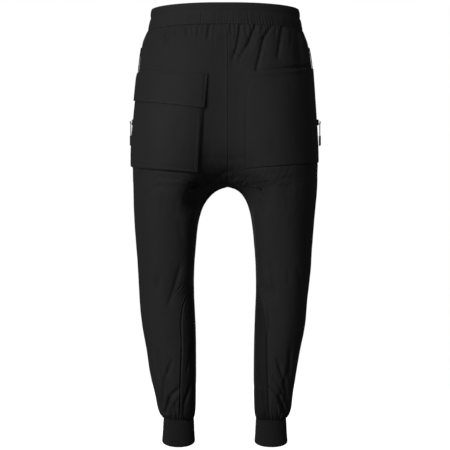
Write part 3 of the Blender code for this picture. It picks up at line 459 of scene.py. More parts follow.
# %% [markdown]
# Some lines are read straight off the picture: where a row of stitches pulls the cloth in, where a
# pocket's mouth gapes, and where the cloth is drawn from the end of the centre seam round to the
# inner legs. Each is a line of corners in the picture's squares, with its width in squares and its
# depth in millimetres. A depth below 0 is a ridge. The word SEWN marks a row of stitches.

# %% Lines read off the picture
SEWN = True
Line = namedtuple("Line", "width depth corners sewn", defaults=(False,))
INSET_LEFT = ((191, 288), (183, 306), (181, 324), (182, 342), (180, 414))
INSET_RIGHT = ((258.6, 288), (266.7, 306), (268.5, 324), (266.7, 342), (268.5, 414))
LINES = {
    "panel": (
        Line(0.8, 0.7, ((144, 71.6), (170, 71.8), (197, 71.4)), SEWN),
        Line(0.8, 0.8, ((152.5, 68.2), (160.0, 67.8)), SEWN),
        Line(1.5, 3.4, ((256, 72.0), (281, 69.2), (308, 66.2))),
        Line(1.0, 2.2, INSET_LEFT),
        Line(1.0, 2.2, INSET_RIGHT),
        Line(0.9, 1.6, ((192.5, 350), (193.5, 380), (192, 412))),
        Line(0.9, 1.6, ((256, 350), (255.5, 380), (257, 412))),
        Line(2.2, 3.0, ((226.5, 172), (215, 178.5), (205, 184), (196, 192), (189, 203))),
        Line(2.2, 2.8, ((230, 172), (242, 178.5), (256, 188.5), (263, 198))),
        Line(0.8, -0.4, ((226.4, 34), (226.6, 100), (226.4, 168))),
        Line(0.8, -0.4, ((229.6, 34), (229.6, 100), (229.6, 168))),
        # ankle folds, left leg then right
        Line(1.0, 2.0, ((182, 350), (180.6, 380), (180, 416))),
        Line(1.7, 3.4, ((178.6, 391), (173.5, 393.5), (168.7, 400), (164.6, 412))),
        Line(1.4, -1.6, ((177.0, 397.0), (172.5, 402), (169.0, 411))),
        Line(1.4, 1.6, ((190.3, 352), (187.0, 372))),
        Line(1.4, 2.4, ((189.5, 390), (184.5, 404), (183.5, 415))),
        Line(1.2, 2.0, ((175.4, 404), (176.6, 418))),
        Line(1.1, 1.6, ((170.6, 409), (172.2, 418))),
        Line(1.0, 2.0, ((267.5, 345), (269, 380), (270, 416))),
        Line(1.7, 3.4, ((271.4, 391), (277, 394.5), (281.8, 401.5), (285.4, 414))),
        Line(1.4, -1.6, ((272.6, 397), (277.0, 402), (280.4, 412))),
        Line(1.5, 2.4, ((273.6, 378), (280, 388), (285.6, 400))),
        Line(1.4, 1.8, ((257.5, 370), (262.5, 390))),
        Line(1.3, 2.2, ((261.5, 392), (264.5, 404), (266.5, 416))),
        Line(1.2, 2.0, ((276.8, 404), (278.6, 418))),
        Line(1.1, 1.6, ((272.6, 408), (273.0, 418))),
    ),
    "cargo_flap": (
        Line(0.8, 0.6, ((143, 75.4), (175, 76.2), (205.6, 75.6)), SEWN),
        Line(0.7, -0.6, ((141, 73.8), (175, 74.4), (207, 73.9))),
        Line(0.8, 0.6, ((205.8, 75.6), (202.2, 106.4)), SEWN),
        Line(0.8, 0.6, ((139, 99.2), (170, 102.6), (202.2, 106.4)), SEWN),
    ),
    "cargo_pocket": (
        Line(0.8, 0.6, ((198.0, 113), (194.2, 169.6)), SEWN),
        Line(0.8, 0.6, ((137, 164.2), (165, 166.6), (194.2, 170.4)), SEWN),
    ),
    "patch_pocket": (
        Line(1.0, -1.1, ((250, 75.2), (270, 73.6), (295, 71.4), (307, 69.6))),
        Line(0.8, 0.6, ((254, 80.2), (275, 78.4), (303, 75.0)), SEWN),
        Line(0.8, 0.7, ((253.5, 78.0), (248.5, 88.0), (246.8, 98.0)), SEWN),
        Line(0.8, 0.8, ((289.0, 87.2), (296.5, 86.4)), SEWN),
    ),
}
BESIDE_INSET = 2.1          # from the inset's seam to the stitches beside it
LEG_STITCHES = [[(across + beside, down) for across, down in seam]
                for seam, beside in ((INSET_LEFT, -BESIDE_INSET), (INSET_RIGHT, BESIDE_INSET))]
PATCH_LOWER = ((246.0, 168.6), (317.5, 163.4))      # the patch pocket's lower edge
PATCH_INNER = 245.6         # its inner edge, which is hidden from PATCH_HIDDEN down
PATCH_HIDDEN = 96.0
FLUSH_RISE = 0.0010         # the cloth beside the patch pocket's hidden edges rises to meet it
FLUSH_START = 1.2           # and falls away again over these squares
FLUSH_FADE = 7.0
LINE_FADE = 0.25            # lines and creases fade where the cloth turns to the side
CREASE_FADE = 0.30


def away_from(a, b, c, d, across, down):
    """How far points are from the run from (a, b) to (c, d), and what share along it they lie."""
    along = np.array((c - a, d - b))
    offset = np.stack((across - a, down - b), axis=1)
    t = np.clip(offset @ along / (along @ along), 0.0, 1.0)
    return np.linalg.norm(offset - t[:, None] * along, axis=1), t


def line_move(points, out, piece):
    """How far the lines of one piece move its points out, on the side that the picture shows."""
    across, down = picture_place(points)
    moved = np.zeros(len(points))
    for line in LINES[piece]:
        runs = zip(line.corners, line.corners[1:])
        away = np.minimum.reduce([away_from(*a, *b, across, down)[0] for a, b in runs]) / line.width
        moved -= line.depth * MM * (1.0 - RIDGE_SHARE * 0.5 * away ** 2) * np.exp(-away ** 2)
    return moved * smooth_step(out[:, 1] / LINE_FADE)


def patch_lower(across):
    """How far down the picture the patch pocket's lower edge runs."""
    (a, b), (c, d) = PATCH_LOWER
    return b + (across - a) * (d - b) / (c - a)


def flush_move(points, out):
    """Raise the panel to the patch pocket's level where the photograph shows no edge."""
    across, down = picture_place(points)
    below = (down - patch_lower(across), across > PATCH_INNER - 2.0)
    beside = (PATCH_INNER - across, (down > PATCH_HIDDEN) & (down < PATCH_LOWER[0][1] + 6.0))
    rise = np.zeros(len(points))
    for beyond, there in (below, beside):
        shown = smooth_step(beyond / FLUSH_START) * np.exp(-(beyond / FLUSH_FADE) ** 2) * there
        rise = np.maximum(rise, shown)
    return FLUSH_RISE * rise * smooth_step(out[:, 1] / LINE_FADE)


print("lines:", sum(len(lines) for lines in LINES.values()))

# %% [markdown]
# A point moves straight out from the body or the leg that the cloth goes round. One smooth field
# of directions serves all pieces, so the two faces of a wall and two neighbours at a seam move
# together, and nothing tears.

# %% Directions and moves
BAND_BOTTOM = -0.024
CUFF_TOP = -0.888
MIDDLE = 0.009              # y of the side seams
TORSO_WIDTH, TORSO_DEPTH = 0.20, 0.135              # half of each
FORK, FORK_FADE = -0.43, 0.08                       # up to here a point moves with a leg alone
LEG_THREADS = -0.40         # from here down the threads go round the leg
LEG_RADIUS, TORSO_RADIUS = 0.062, 0.155
TORSO_FLAT = 0.8


def leg_centre(z):
    """Distance of a leg's middle from the centre."""
    return np.interp(-z, (0.43, 0.60, 0.80, -CUFF_TOP), (0.126, 0.129, 0.114, 0.1035))


def outwards(points):
    """The direction out of the cloth at each point, shorter where body and leg meet."""
    x, y, z = points.T
    torso = np.stack((x / TORSO_WIDTH ** 2, (y - MIDDLE) / TORSO_DEPTH ** 2), axis=1)
    leg = np.stack((x - np.sign(x) * leg_centre(z), y - MIDDLE), axis=1)
    torso /= np.linalg.norm(torso, axis=1, keepdims=True) + 1e-9
    leg /= np.linalg.norm(leg, axis=1, keepdims=True) + 1e-9
    share = smooth_step((z - FORK) / FORK_FADE)[:, None]
    flat = torso * share + leg * (1.0 - share)
    return np.column_stack((flat, np.zeros(len(points))))


def around_and_down(points):
    """Distance round the body or leg from its side seam, and height."""
    x, y, z = points.T
    leg = z < LEG_THREADS
    centre = np.where(leg, np.sign(x) * leg_centre(z), 0.0)
    radius = np.where(leg, LEG_RADIUS, TORSO_RADIUS)
    angle = np.arctan2(y - MIDDLE, np.sign(x) * (x - centre) * np.where(leg, 1.0, TORSO_FLAT))
    return angle * radius, z


def crease_move(points, out):
    """How far the creases move each point out, which is mostly inwards."""
    x, _, z = points.T
    moved = np.zeros(len(points))
    for face in (FRONT, BACK):
        facing = smooth_step(out[:, 1] * face / CREASE_FADE)
        seen = np.flatnonzero(facing > 0.0)
        total = np.zeros(len(seen))
        for crease in CREASES[face]:
            away, t = away_from(*crease[:4], x[seen], z[seen])
            near = away < 3.0 * crease.width
            taper = 0.35 + 0.65 * np.sin(math.pi * (0.12 + 0.76 * t[near]))
            square = (away[near] / crease.width) ** 2
            total[near] -= crease.depth * taper * (1 - RIDGE_SHARE * square) * np.exp(-square)
        moved[seen] += total * facing[seen]
    return moved


WAIST_GATHER, WAIST_GATHER_HEIGHT = 0.0088, 0.0012  # from one small gather to the next
ANKLE_GATHER, ANKLE_GATHER_HEIGHT = 0.0092, 0.0014


def gather_move(points):
    """Small gathers that fan out from the waistband and the cuffs, uneven by odd long waves."""
    around, z = around_and_down(points)
    wander = 1.7 * np.sin(around * 47.0) + 1.1 * np.sin(around * 121.0 + 1.0)
    uneven = 0.55 + 0.45 * np.sin(around * 173.0 + 2.0)
    reach = 0.012 + 0.016 * (0.5 + 0.5 * np.sin(around * 89.0))
    waist = np.sin(math.tau * around / WAIST_GATHER + wander) * uneven
    waist *= WAIST_GATHER_HEIGHT * np.exp(-np.abs(BAND_BOTTOM - z) / reach)
    ankle = np.sin(math.tau * around / ANKLE_GATHER + wander) * uneven
    ankle *= ANKLE_GATHER_HEIGHT * np.exp(-np.abs(z - CUFF_TOP) / (0.6 * reach))
    return waist + ankle


def rumple_move(points, height):
    """Soft unevenness of worn cloth, longer down the leg than across it."""
    moved = np.empty(len(points))
    for i, (x, y, z) in enumerate(points):
        broad = noise.noise(Vector((x * 22.0, y * 22.0, z * 12.0)))
        fine = noise.noise(Vector((x * 70.0 + 5.0, y * 70.0, z * 44.0)))
        moved[i] = broad + 0.35 * fine
    return moved * height


# %% [markdown]
# ## From a solid to a shell
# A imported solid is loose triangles. Merging its points and pairing its triangles gives back the
# grid of the cut piece, which subdivides into smooth cloth. The wall's own edges are creased, so
# that they stay crisp.

# %% Refine a solid
LEVELS = 3
HARD_EDGE = math.radians(38)
MERGE = 2e-5


def refined(node, name, levels, sharpness=1.0):
    """A subdivided copy of a CAD node's solid, as a new object."""
    shape = bmesh.new()
    shape.from_mesh(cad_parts[node].data)
    bmesh.ops.remove_doubles(shape, verts=shape.verts, dist=MERGE)
    shape.normal_update()
    bmesh.ops.join_triangles(shape, faces=shape.faces, angle_face_threshold=HARD_EDGE,
                             angle_shape_threshold=math.pi, topology_influence=0.5)
    creases = shape.edges.layers.float.new("crease_edge")
    for edge in shape.edges:
        if len(edge.link_faces) == 2 and edge.calc_face_angle() > HARD_EDGE:
            edge[creases] = sharpness
    mesh = bpy.data.meshes.new(name)
    shape.to_mesh(mesh)
    shape.free()
    made = add_object(name, mesh)
    smooth = made.modifiers.new("smooth", "SUBSURF")
    smooth.levels = smooth.render_levels = levels
    smooth.boundary_smooth = "PRESERVE_CORNERS"
    apply_modifiers(made)
    return made


def read_points(mesh):
    """A mesh's points as an array."""
    flat = np.empty(len(mesh.vertices) * 3, np.float32)
    mesh.vertices.foreach_get("co", flat)
    return flat.reshape(-1, 3).astype(float)


def write_points(mesh, points):
    """Put an array back into a mesh."""
    mesh.vertices.foreach_set("co", points.astype(np.float32).ravel())
    mesh.update()


def add_threads(mesh, points):
    """Store how far round and down each point lies, for the weave."""
    around, down = around_and_down(points)
    layer = mesh.attributes.new("thread", "FLOAT_VECTOR", "POINT")
    layer.data.foreach_set("vector", np.column_stack((around, down, down * 0.0)).astype(np.float32).ravel())


def finish_cloth(piece, material):
    """Shade a piece of cloth smoothly, give it its material and let it ride on the garment."""
    piece.data.materials.clear()
    piece.data.materials.append(material)
    piece.data.shade_smooth()
    piece.data.set_sharp_from_angle(angle=math.radians(50.0))
    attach(piece, "garment")


# %% [markdown]
# ## Body panels
# Back, front and calf inset, left and right, are walls of cloth. Beside the crotch the rows of the
# solids crowd together and leave small kinks. A map of how far the cloth stands out, taken with
# rays on a fine grid, is blurred there, and the panels follow it.

# %% Even out the seat
GRID = 0.002
SEAT_WIDTH = 0.165          # half the width of the map
SEAT_TOP, SEAT_BOTTOM = -0.290, -0.450
SEAT_RIM = 0.03             # over which the moves fade at the map's edges
BLUR = 6                    # in steps of the grid
STEEP = 2.6                 # slopes above this are left alone
MOSTLY_CLOTH = 0.75         # and so are places with less cloth than this share round them
REACH = 0.016               # under the outer face, what still moves with it


def surface_of(pieces):
    """One searchable surface from several pieces."""
    corners = []
    faces = []
    for piece in pieces:
        start = len(corners)
        corners += [vertex.co.copy() for vertex in piece.data.vertices]
        faces += [[start + i for i in polygon.vertices] for polygon in piece.data.polygons]
    return BVHTree.FromPolygons(corners, faces)


def blurred(grid):
    """A grid softened along both its directions."""
    steps = np.arange(-3 * BLUR, 3 * BLUR + 1)
    weights = np.exp(-0.5 * (steps / BLUR) ** 2)
    weights /= weights.sum()
    for _ in range(2):
        padded = np.pad(grid, ((3 * BLUR, 3 * BLUR), (0, 0)))
        grid = sum(w * padded[k:k + len(grid)] for k, w in enumerate(weights)).T
    return grid


def seat_map(facing, nodes):
    """How far the cloth has to move out to lie evenly, over a grid of x and z, and where it lies."""
    surface = surface_of([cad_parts[node] for node in nodes])
    xs = np.arange(-SEAT_WIDTH, SEAT_WIDTH, GRID)
    zs = np.arange(SEAT_BOTTOM, SEAT_TOP, GRID)
    depth = np.zeros((len(zs), len(xs)))
    there = np.zeros_like(depth)
    for i, z in enumerate(zs):
        for j, x in enumerate(xs):
            hit = surface.ray_cast(Vector((x, facing, z)), Vector((0, -facing, 0)))[0]
            if hit is not None and hit.y * facing > 0.0:
                depth[i, j], there[i, j] = hit.y * facing, 1.0
    share = blurred(there)
    soft = blurred(depth * there) / np.maximum(share, 1e-6)
    slope = np.hypot(*np.gradient(soft, GRID))
    move = (soft - depth) * there * (1.0 - smooth_step((slope - STEEP) / STEEP))
    move *= smooth_step((share - MOSTLY_CLOTH) / (1.0 - MOSTLY_CLOTH))
    rim_x = smooth_step((SEAT_WIDTH - np.abs(xs)) / SEAT_RIM)
    rim_z = smooth_step((zs - SEAT_BOTTOM) / SEAT_RIM) * smooth_step((SEAT_TOP - zs) / SEAT_RIM)
    return move * rim_x[None, :] * rim_z[:, None], depth


def read_map(grid, x, z):
    """A grid's value at places between its points."""
    i = np.clip((z - SEAT_BOTTOM) / GRID, 0, grid.shape[0] - 1.001)
    j = np.clip((x + SEAT_WIDTH) / GRID, 0, grid.shape[1] - 1.001)
    a, b = i.astype(int), j.astype(int)
    s, t = i - a, j - b
    return ((grid[a, b] * (1 - t) + grid[a, b + 1] * t) * (1 - s)
            + (grid[a + 1, b] * (1 - t) + grid[a + 1, b + 1] * t) * s)


SEATS = {BACK: seat_map(BACK, ("back_left", "back_right")),
         FRONT: seat_map(FRONT, ("front_left", "front_right"))}


def evened(points, facing):
    """The points of a back or front panel, moved to lie evenly beside the crotch."""
    move, depth = SEATS[facing]
    x, y, z = points.T
    inside = (np.abs(x) < SEAT_WIDTH) & (z > SEAT_BOTTOM) & (z < SEAT_TOP) & (y * facing > 0.0)
    near = smooth_step(2.0 - (read_map(depth, x, z) - y * facing) / REACH)
    result = points.copy()
    result[:, 1] += facing * read_map(move, x, z) * near * inside
    return result


print("seat moves:", {face: round(float(np.abs(m[0]).max()), 4) for face, m in SEATS.items()})

# %% [markdown]
# Under the pockets the cloth stays plain, so that a pocket lies on it cleanly.

# %% Panels
Zone = namedtuple("Zone", "x_low x_high z_low top_at_low top_at_high")
POCKET_ZONES = (Zone(0.040, 0.215, -0.360, -0.135, -0.114),
                Zone(-0.215, -0.041, -0.348, -0.106, -0.134))
ZONE_FADE = 0.006
RUMPLE = 0.0008
RIM_TUCK = 0.0010           # panels slip this far under the waistband and the cuffs
RIM_WIDTH, RIM_FADE = 0.005, 0.004
PIECES = {}                 # the dressed pieces, under the names of the nodes that they replace


def under_pocket(points, out):
    """1 under a pocket, and 0 away from both."""
    x, _, z = points.T
    covered = np.zeros(len(points))
    for zone in POCKET_ZONES:
        top = np.interp(x, (zone.x_low, zone.x_high), (zone.top_at_low, zone.top_at_high))
        inside = np.minimum.reduce((x - zone.x_low, zone.x_high - x, z - zone.z_low, top - z))
        covered = np.maximum(covered, smooth_step(inside / ZONE_FADE + 1.0))
    return covered * smooth_step(out[:, 1] / 0.15 + 1.0)


def tucked(points, out):
    """Move a panel's upper and lower edges under the waistband and into the cuff."""
    z = points[:, 2]
    upper = smooth_step((z - BAND_BOTTOM + RIM_WIDTH) / RIM_FADE)
    lower = smooth_step((CUFF_TOP + RIM_WIDTH - z) / RIM_FADE)
    moved = points - out * (RIM_TUCK * (upper + lower))[:, None]
    moved[:, 2] += RIM_TUCK * (upper - lower)
    return moved


def dress_panel(node):
    """A body panel as fine cloth."""
    piece = refined(node, node + "_cloth", LEVELS)
    points = read_points(piece.data)
    if not node.startswith("calf"):
        points = evened(points, BACK if node.startswith("back") else FRONT)
    out = outwards(points)
    move = crease_move(points, out) + gather_move(points) + rumple_move(points, RUMPLE)
    move *= 1.0 - under_pocket(points, out)
    move += line_move(points, out, "panel")
    if node == "back_right":
        move += flush_move(points, out)
    add_threads(piece.data, points)
    write_points(piece.data, tucked(points + out * move[:, None], out))
    finish_cloth(piece, INSET_CLOTH if node.startswith("calf") else CLOTH)
    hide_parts(node)
    return piece


for node in ("back_left", "back_right", "front_left", "front_right", "calf_inset_left", "calf_inset_right"):
    PIECES[node] = dress_panel(node)
    print(node, len(PIECES[node].data.polygons), "faces,", outer_area(PIECES[node]), "m2")
SKIN = surface_of(PIECES.values())

# %% [markdown]
# ## Waistband
# The elastic sits in a channel of the same cloth. A stitch line near the rim keeps the upper edge
# smooth, and below it the cloth puckers into fine upright gathers.

# %% Waistband
BAND_GATHER = 0.0066
BAND_GATHER_HEIGHT = 0.0011
BAND_RIM = 0.022            # above this the band is smooth
CHANNEL_STITCH = 0.005
STITCH_PULL, STITCH_FURROW = 0.0006, 0.0016         # how deep and how wide a stitch line sinks in


def band_move(points):
    """Puckers of the elasticated band, uneven by odd long waves."""
    around, z = around_and_down(points)
    wander = 2.1 * np.sin(around * 61.0) + 1.3 * np.sin(around * 143.0 + 2.0)
    uneven = 0.6 + 0.4 * np.sin(around * 211.0)
    lean = np.sin(around * 33.0) * (z - CHANNEL_STITCH) * 90.0
    pucker = np.sin(math.tau * around / BAND_GATHER + wander + lean) * uneven
    lower = smooth_step((CHANNEL_STITCH - z) / 0.008)
    upper = 0.35 * smooth_step((z - CHANNEL_STITCH) / 0.006) * smooth_step((BAND_RIM - z) / 0.008)
    held = STITCH_PULL * np.exp(-((z - CHANNEL_STITCH) / STITCH_FURROW) ** 2)
    return BAND_GATHER_HEIGHT * pucker * (lower + upper) - held


band = refined("waistband", "waistband_cloth", LEVELS - 1)
points = read_points(band.data)
add_threads(band.data, points)
write_points(band.data, points + outwards(points) * band_move(points)[:, None])
finish_cloth(band, CLOTH)
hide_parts("waistband")
PIECES["waistband"] = band
print("waistband", len(band.data.polygons), "faces,", outer_area(band), "m2")

# %% [markdown]
# ## Cuffs
# A rib cuff is a knitted tube: narrow upright ribs that stand up over deep furrows. Each rib is a
# few columns of points, and the tube widens a little to its rounded lower edge.

# %% Cuffs
RIBS = 46
RIB_STEPS = 6
RIB_RISE = 0.0009
CUFF_WALL = 0.0018
CUFF_SLACK = 0.0005         # how far the lower edge strays from a true round
CUFF_TOP_GAP = 0.0003
CUFF_BOTTOM = -0.943
CUFF_TILT = 0.18            # the lower edge drops towards the back
Ring = namedtuple("Ring", "share half_width half_depth")
CUFF_RINGS = (
    Ring(0.00, 0.0337, 0.0369), Ring(0.03, 0.0331, 0.0364), Ring(0.10, 0.0336, 0.0368),
    Ring(0.30, 0.0342, 0.0371), Ring(0.55, 0.0347, 0.0374), Ring(0.78, 0.0356, 0.0381),
    Ring(0.92, 0.0363, 0.0387), Ring(0.975, 0.0361, 0.0385), Ring(1.00, 0.0353, 0.0377))


def make_cuff(name, half, centre_x):
    """A tube of rib knit, ribbed outside and nearly plain inside."""
    steps = RIBS * RIB_STEPS
    top = CUFF_TOP - CUFF_TOP_GAP
    rows = [(ring, False) for ring in CUFF_RINGS] + [(ring, True) for ring in reversed(CUFF_RINGS)]
    points = []
    for ring, inner in rows:
        for k in range(steps):
            angle = math.tau * k / steps
            rib = 0.5 + 0.5 * math.cos(math.tau * k / RIB_STEPS)
            out = -CUFF_WALL + 0.15 * RIB_RISE * rib if inner else RIB_RISE * (rib ** 0.7 - 0.3)
            out += CUFF_SLACK * math.sin(3 * angle + 1.0 + half) * ring.share
            x = (ring.half_width + out) * math.cos(angle)
            y = (ring.half_depth + out) * math.sin(angle)
            lower = CUFF_BOTTOM - CUFF_TILT * y
            points.append((half * (centre_x + x), MIDDLE + y, top + (lower - top) * ring.share))
    faces = []
    for i in range(len(rows)):
        for j in range(steps):
            here, below, beside = i * steps, (i + 1) % len(rows) * steps, (j + 1) % steps
            faces.append((here + j, here + beside, below + beside, below + j))
    piece = add_piece(name, points, faces)
    add_threads(piece.data, read_points(piece.data))
    finish_cloth(piece, RIB_KNIT)
    return piece


for node, half in (("cuff_left", 1), ("cuff_right", -1)):
    low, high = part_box(node)
    PIECES[node] = make_cuff(node + "_knit", half, abs(low.x + high.x) / 2)
    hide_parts(node)
    print(node, outer_area(PIECES[node]), "m2")

# %% [markdown]
# ## Pockets
# The cargo pocket on the wearer's left is a pouch with a gusset under a flap. The patch pocket on
# the right is one layer, flat, with its mouth a little open. Their own soft bulges move only
# outwards, so that they never sink into the cloth under them.

# %% Pockets
POCKET_SOFTNESS = 0.92      # how crisp their folded edges stay
POCKET_LIFT, POCKET_RUMPLE = 0.0006, 0.0005
FLAP_FREE = 201.0           # in the picture, where the flap overhangs the pouch
FLAP_DROOP = 0.0022         # how far its free edge droops
PATCH_SINK = 0.0004         # the patch pocket's hidden edges lie flatter than its wall
Wave = namedtuple("Wave", "x z width height rise")
POCKET_WAVES = {            # soft bulges, in millimetres
    "cargo_pocket": (Wave(120, -285, 50, 45, 1.6), Wave(160, -230, 22, 50, 1.2),
                     Wave(82, -235, 14, 60, 1.1), Wave(105, -322, 60, 12, 1.0)),
    "cargo_flap": (Wave(130, -160, 45, 20, 1.1), Wave(72, -180, 20, 20, 1.0),
                   Wave(168, -165, 12, 26, 0.8)),
    "patch_pocket": (Wave(-100, -125, 40, 8, 1.4), Wave(-150, -122, 14, 12, 1.2),
                     Wave(-125, -230, 30, 60, 0.9), Wave(-80, -290, 22, 30, 0.8)),
}


def dress_pocket(node):
    """A pocket piece as fine cloth."""
    piece = refined(node, node + "_cloth", LEVELS, POCKET_SOFTNESS)
    points = read_points(piece.data)
    out = outwards(points)
    x, _, z = points.T / MM
    across, down = picture_place(points)
    move = POCKET_LIFT + rumple_move(points, POCKET_RUMPLE)
    for wave in POCKET_WAVES[node]:
        bulge = np.exp(-((x - wave.x) / wave.width) ** 2 - ((z - wave.z) / wave.height) ** 2)
        move += wave.rise * MM * bulge
    move += line_move(points, out, node)
    if node == "cargo_flap":
        move -= FLAP_DROOP * smooth_step((across - FLAP_FREE) / 6.0)
    if node == "patch_pocket":
        inner = np.where(down > PATCH_HIDDEN, across - PATCH_INNER, np.inf)
        to_edge = np.minimum(patch_lower(across) - down, inner)
        move -= PATCH_SINK * (1.0 - smooth_step(to_edge / 4.0))
    add_threads(piece.data, points)
    write_points(piece.data, points + out * move[:, None])
    finish_cloth(piece, CLOTH)
    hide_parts(node)
    print(node, len(piece.data.polygons), "faces,", outer_area(piece), "m2")
    return piece


POCKETS = {node: dress_pocket(node) for node in POCKET_WAVES}

# %% [markdown]
# ## Sewing
# Every seam is stitched, and the pockets are topstitched along their edges. A stitch is a short
# bead of thread, drawn tight into the cloth. Rays dropped on the cloth find where each line of
# stitches lies, and a Geometry Nodes tree lays one bead on each of its points.

# %% Lines on the cloth
STITCH_PITCH = 0.0034
STITCH_LENGTH = 0.0026
STITCH_WIDTH = 0.00055
SEAM_STEP = 0.0015          # between two rays along a seam, and in the picture's squares
PICTURE_STEP = 1.0
RING_STEPS = 720
LEAP = 0.012                # a line ends where the cloth jumps away by this
FAR = 1.2
TOWARDS = {"back": Vector((0, -1, 0)), "front": Vector((0, 1, 0)), "left": Vector((-1, 0, 0)),
           "right": Vector((1, 0, 0)), "below": Vector((0, 0, 1))}
OUTSIDE = surface_of([piece for node, piece in PIECES.items() if node[:4] != "cuff"] + [*POCKETS.values()])
PIECES.update(POCKETS)


def first_seen(surface, start, towards):
    """The first point of a surface along a ray and the direction out of it there, or None."""
    point, normal, _, _ = surface.ray_cast(start, towards)
    return None if point is None else (point, normal if normal.dot(towards) < 0 else -normal)


def cast(side, across, height, surface):
    """The point of the cloth that is seen from a side. From below, the height is a y."""
    towards = TOWARDS[side]
    start = Vector((0, across, height)) if towards.x else Vector((across, 0, height))
    if side == "below":
        start = Vector((across, height, 0))
    return first_seen(surface, start - towards * FAR, towards)


def in_steps(corners, step, last=0):
    """Places at even steps along a line of corners, with each run's end where last is 1."""
    for (a, b), (c, d) in zip(corners, corners[1:]):
        count = max(2, int(math.hypot(c - a, d - b) / step))
        for t in (k / count for k in range(count + last)):
            yield a + (c - a) * t, b + (d - b) * t


def unbroken(hits, leap=LEAP):
    """The hits that follow each other closely."""
    found = []
    for hit in hits:
        if hit and (not found or (hit[0] - found[-1][0]).length < leap):
            found.append(hit)
    return found


def line_on(side, corners):
    """A line over the cloth through (across, height) corners, seen from a side."""
    return unbroken(cast(side, *place, OUTSIDE) for place in in_steps(corners, SEAM_STEP))


def seen_line(corners):
    """A line over the cloth through corners in the picture."""
    places = in_steps(corners, PICTURE_STEP, 1)
    return unbroken(first_seen(OUTSIDE, *picture_ray(*place)) for place in places)


def ring_at(z):
    """A line round the waistband."""
    found = []
    for k in range(RING_STEPS + 1):
        angle = math.tau * k / RING_STEPS
        far = Vector((FAR * math.cos(angle), FAR * 0.7 * math.sin(angle), z))
        found.append(first_seen(OUTSIDE, far, (Vector((0, 0, z)) - far).normalized()))
    return unbroken(found)


def laid(row, pitch):
    """Evenly spaced places along a line of (point, out) pairs, each with its direction."""
    values = np.array([(*point, *out) for point, out in row])
    lengths = np.concatenate(([0.0], np.cumsum(np.linalg.norm(np.diff(values[:, :3], axis=0), axis=1))))
    wanted = np.arange(0.5 * pitch, lengths[-1], pitch)
    here, ahead, behind = (
        np.column_stack([np.interp(wanted + shift * pitch, lengths, column) for column in values.T])
        for shift in (0.0, 0.3, -0.3))
    return list(zip(here[:, :3], ahead[:, :3] - behind[:, :3], here[:, 3:]))


# %% The stitch lines
BAND_STITCH = -0.0215
CENTRE_BACK = [(-0.0040, -0.026), (-0.0045, -0.150), (-0.0045, -0.340)]
CENTRE_FRONT = [(0.0015, -0.026), (-0.0030, -0.120), (-0.0035, -0.330)]
SIDE_UPPER = [(0.000, -0.240), (0.005, -0.420)]
SIDE_LOWER = [(0.005, -0.420), (0.006, -0.600), (0.006, -0.800), (0.005, -0.884)]
ROWS = [ring_at(CHANNEL_STITCH), ring_at(BAND_STITCH)]
ROWS += [line_on("back", CENTRE_BACK), line_on("front", CENTRE_FRONT)]
ROWS += [line_on(side, seam) for side in ("left", "right") for seam in (SIDE_LOWER, SIDE_UPPER)]
ROWS += [seen_line(line.corners) for lines in LINES.values() for line in lines if line.sewn]
ROWS += [seen_line(corners) for corners in LEG_STITCHES]
print("stitch lines:", len(ROWS))


# %% The stitch tree
BEAD_INPUTS = (
    ("Geometry", "Geometry", None), ("Length", "Float", STITCH_LENGTH), ("Width", "Float", STITCH_WIDTH),
    ("Height", "Float", STITCH_WIDTH), ("Sides", "Int", 6), ("Finish", "Material", None))


def bead_tree():
    """Lay one bead along each point's direction, its top facing out."""
    tree = bpy.data.node_groups.new("beads on points", "GeometryNodeTree")
    for name, kind, value in BEAD_INPUTS:
        made = tree.interface.new_socket(name, in_out="INPUT", socket_type="NodeSocket" + kind)
        if value is not None:
            made.default_value = value
    tree.interface.new_socket("Geometry", in_out="OUTPUT", socket_type="NodeSocketGeometry")

    def add(kind, inputs, **settings):
        return add_node(tree, kind, inputs, **settings).outputs

    given = add("NodeGroupInput", {})
    bead = add("GeometryNodeMeshUVSphere", {"Segments": given["Sides"], "Rings": 4, "Radius": 0.5})
    size = add("ShaderNodeCombineXYZ", {0: given["Width"], 1: given["Height"], 2: given["Length"]})
    sized = add("GeometryNodeTransform", {"Geometry": bead[0], "Scale": size[0]})
    along = add("GeometryNodeInputNamedAttribute", {"Name": "along"}, data_type="FLOAT_VECTOR")
    out = add("GeometryNodeInputNamedAttribute", {"Name": "out"}, data_type="FLOAT_VECTOR")
    turned = add("FunctionNodeAlignRotationToVector", {"Vector": along[0]}, axis="Z")
    facing = add("FunctionNodeAlignRotationToVector", {"Rotation": turned[0], "Vector": out[0]},
                 axis="Y", pivot_axis="Z")
    placed = add("GeometryNodeInstanceOnPoints",
                 {"Points": given["Geometry"], "Instance": sized[0], "Rotation": facing[0]})
    real = add("GeometryNodeRealizeInstances", {"Geometry": placed[0]})
    finished = add("GeometryNodeSetMaterial", {"Geometry": real[0], "Material": given["Finish"]})
    add("NodeGroupOutput", {"Geometry": finished[0]})
    return tree


BEADS = bead_tree()


def lay_beads(name, places, sizes, finish):
    """A mesh of beads on (place, along, out) triples, made by the bead tree."""
    mesh = bpy.data.meshes.new(name)
    mesh.from_pydata([tuple(place) for place, _, _ in places], [], [])
    for key, index in (("along", 1), ("out", 2)):
        layer = mesh.attributes.new(key, "FLOAT_VECTOR", "POINT")
        layer.data.foreach_set("vector", np.array([p[index] for p in places], np.float32).ravel())
    piece = add_object(name, mesh)
    nodes = piece.modifiers.new("beads", "NODES")
    nodes.node_group = BEADS
    sockets = {item.name: item.identifier for item in BEADS.interface.items_tree if item.in_out == "INPUT"}
    for key, value in {**sizes, "Finish": finish}.items():
        nodes[sockets[key]] = value
    apply_modifiers(piece)
    piece.data.shade_smooth()
    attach(piece, "garment")
    print(name, len(places), "beads,", len(piece.data.polygons), "faces")


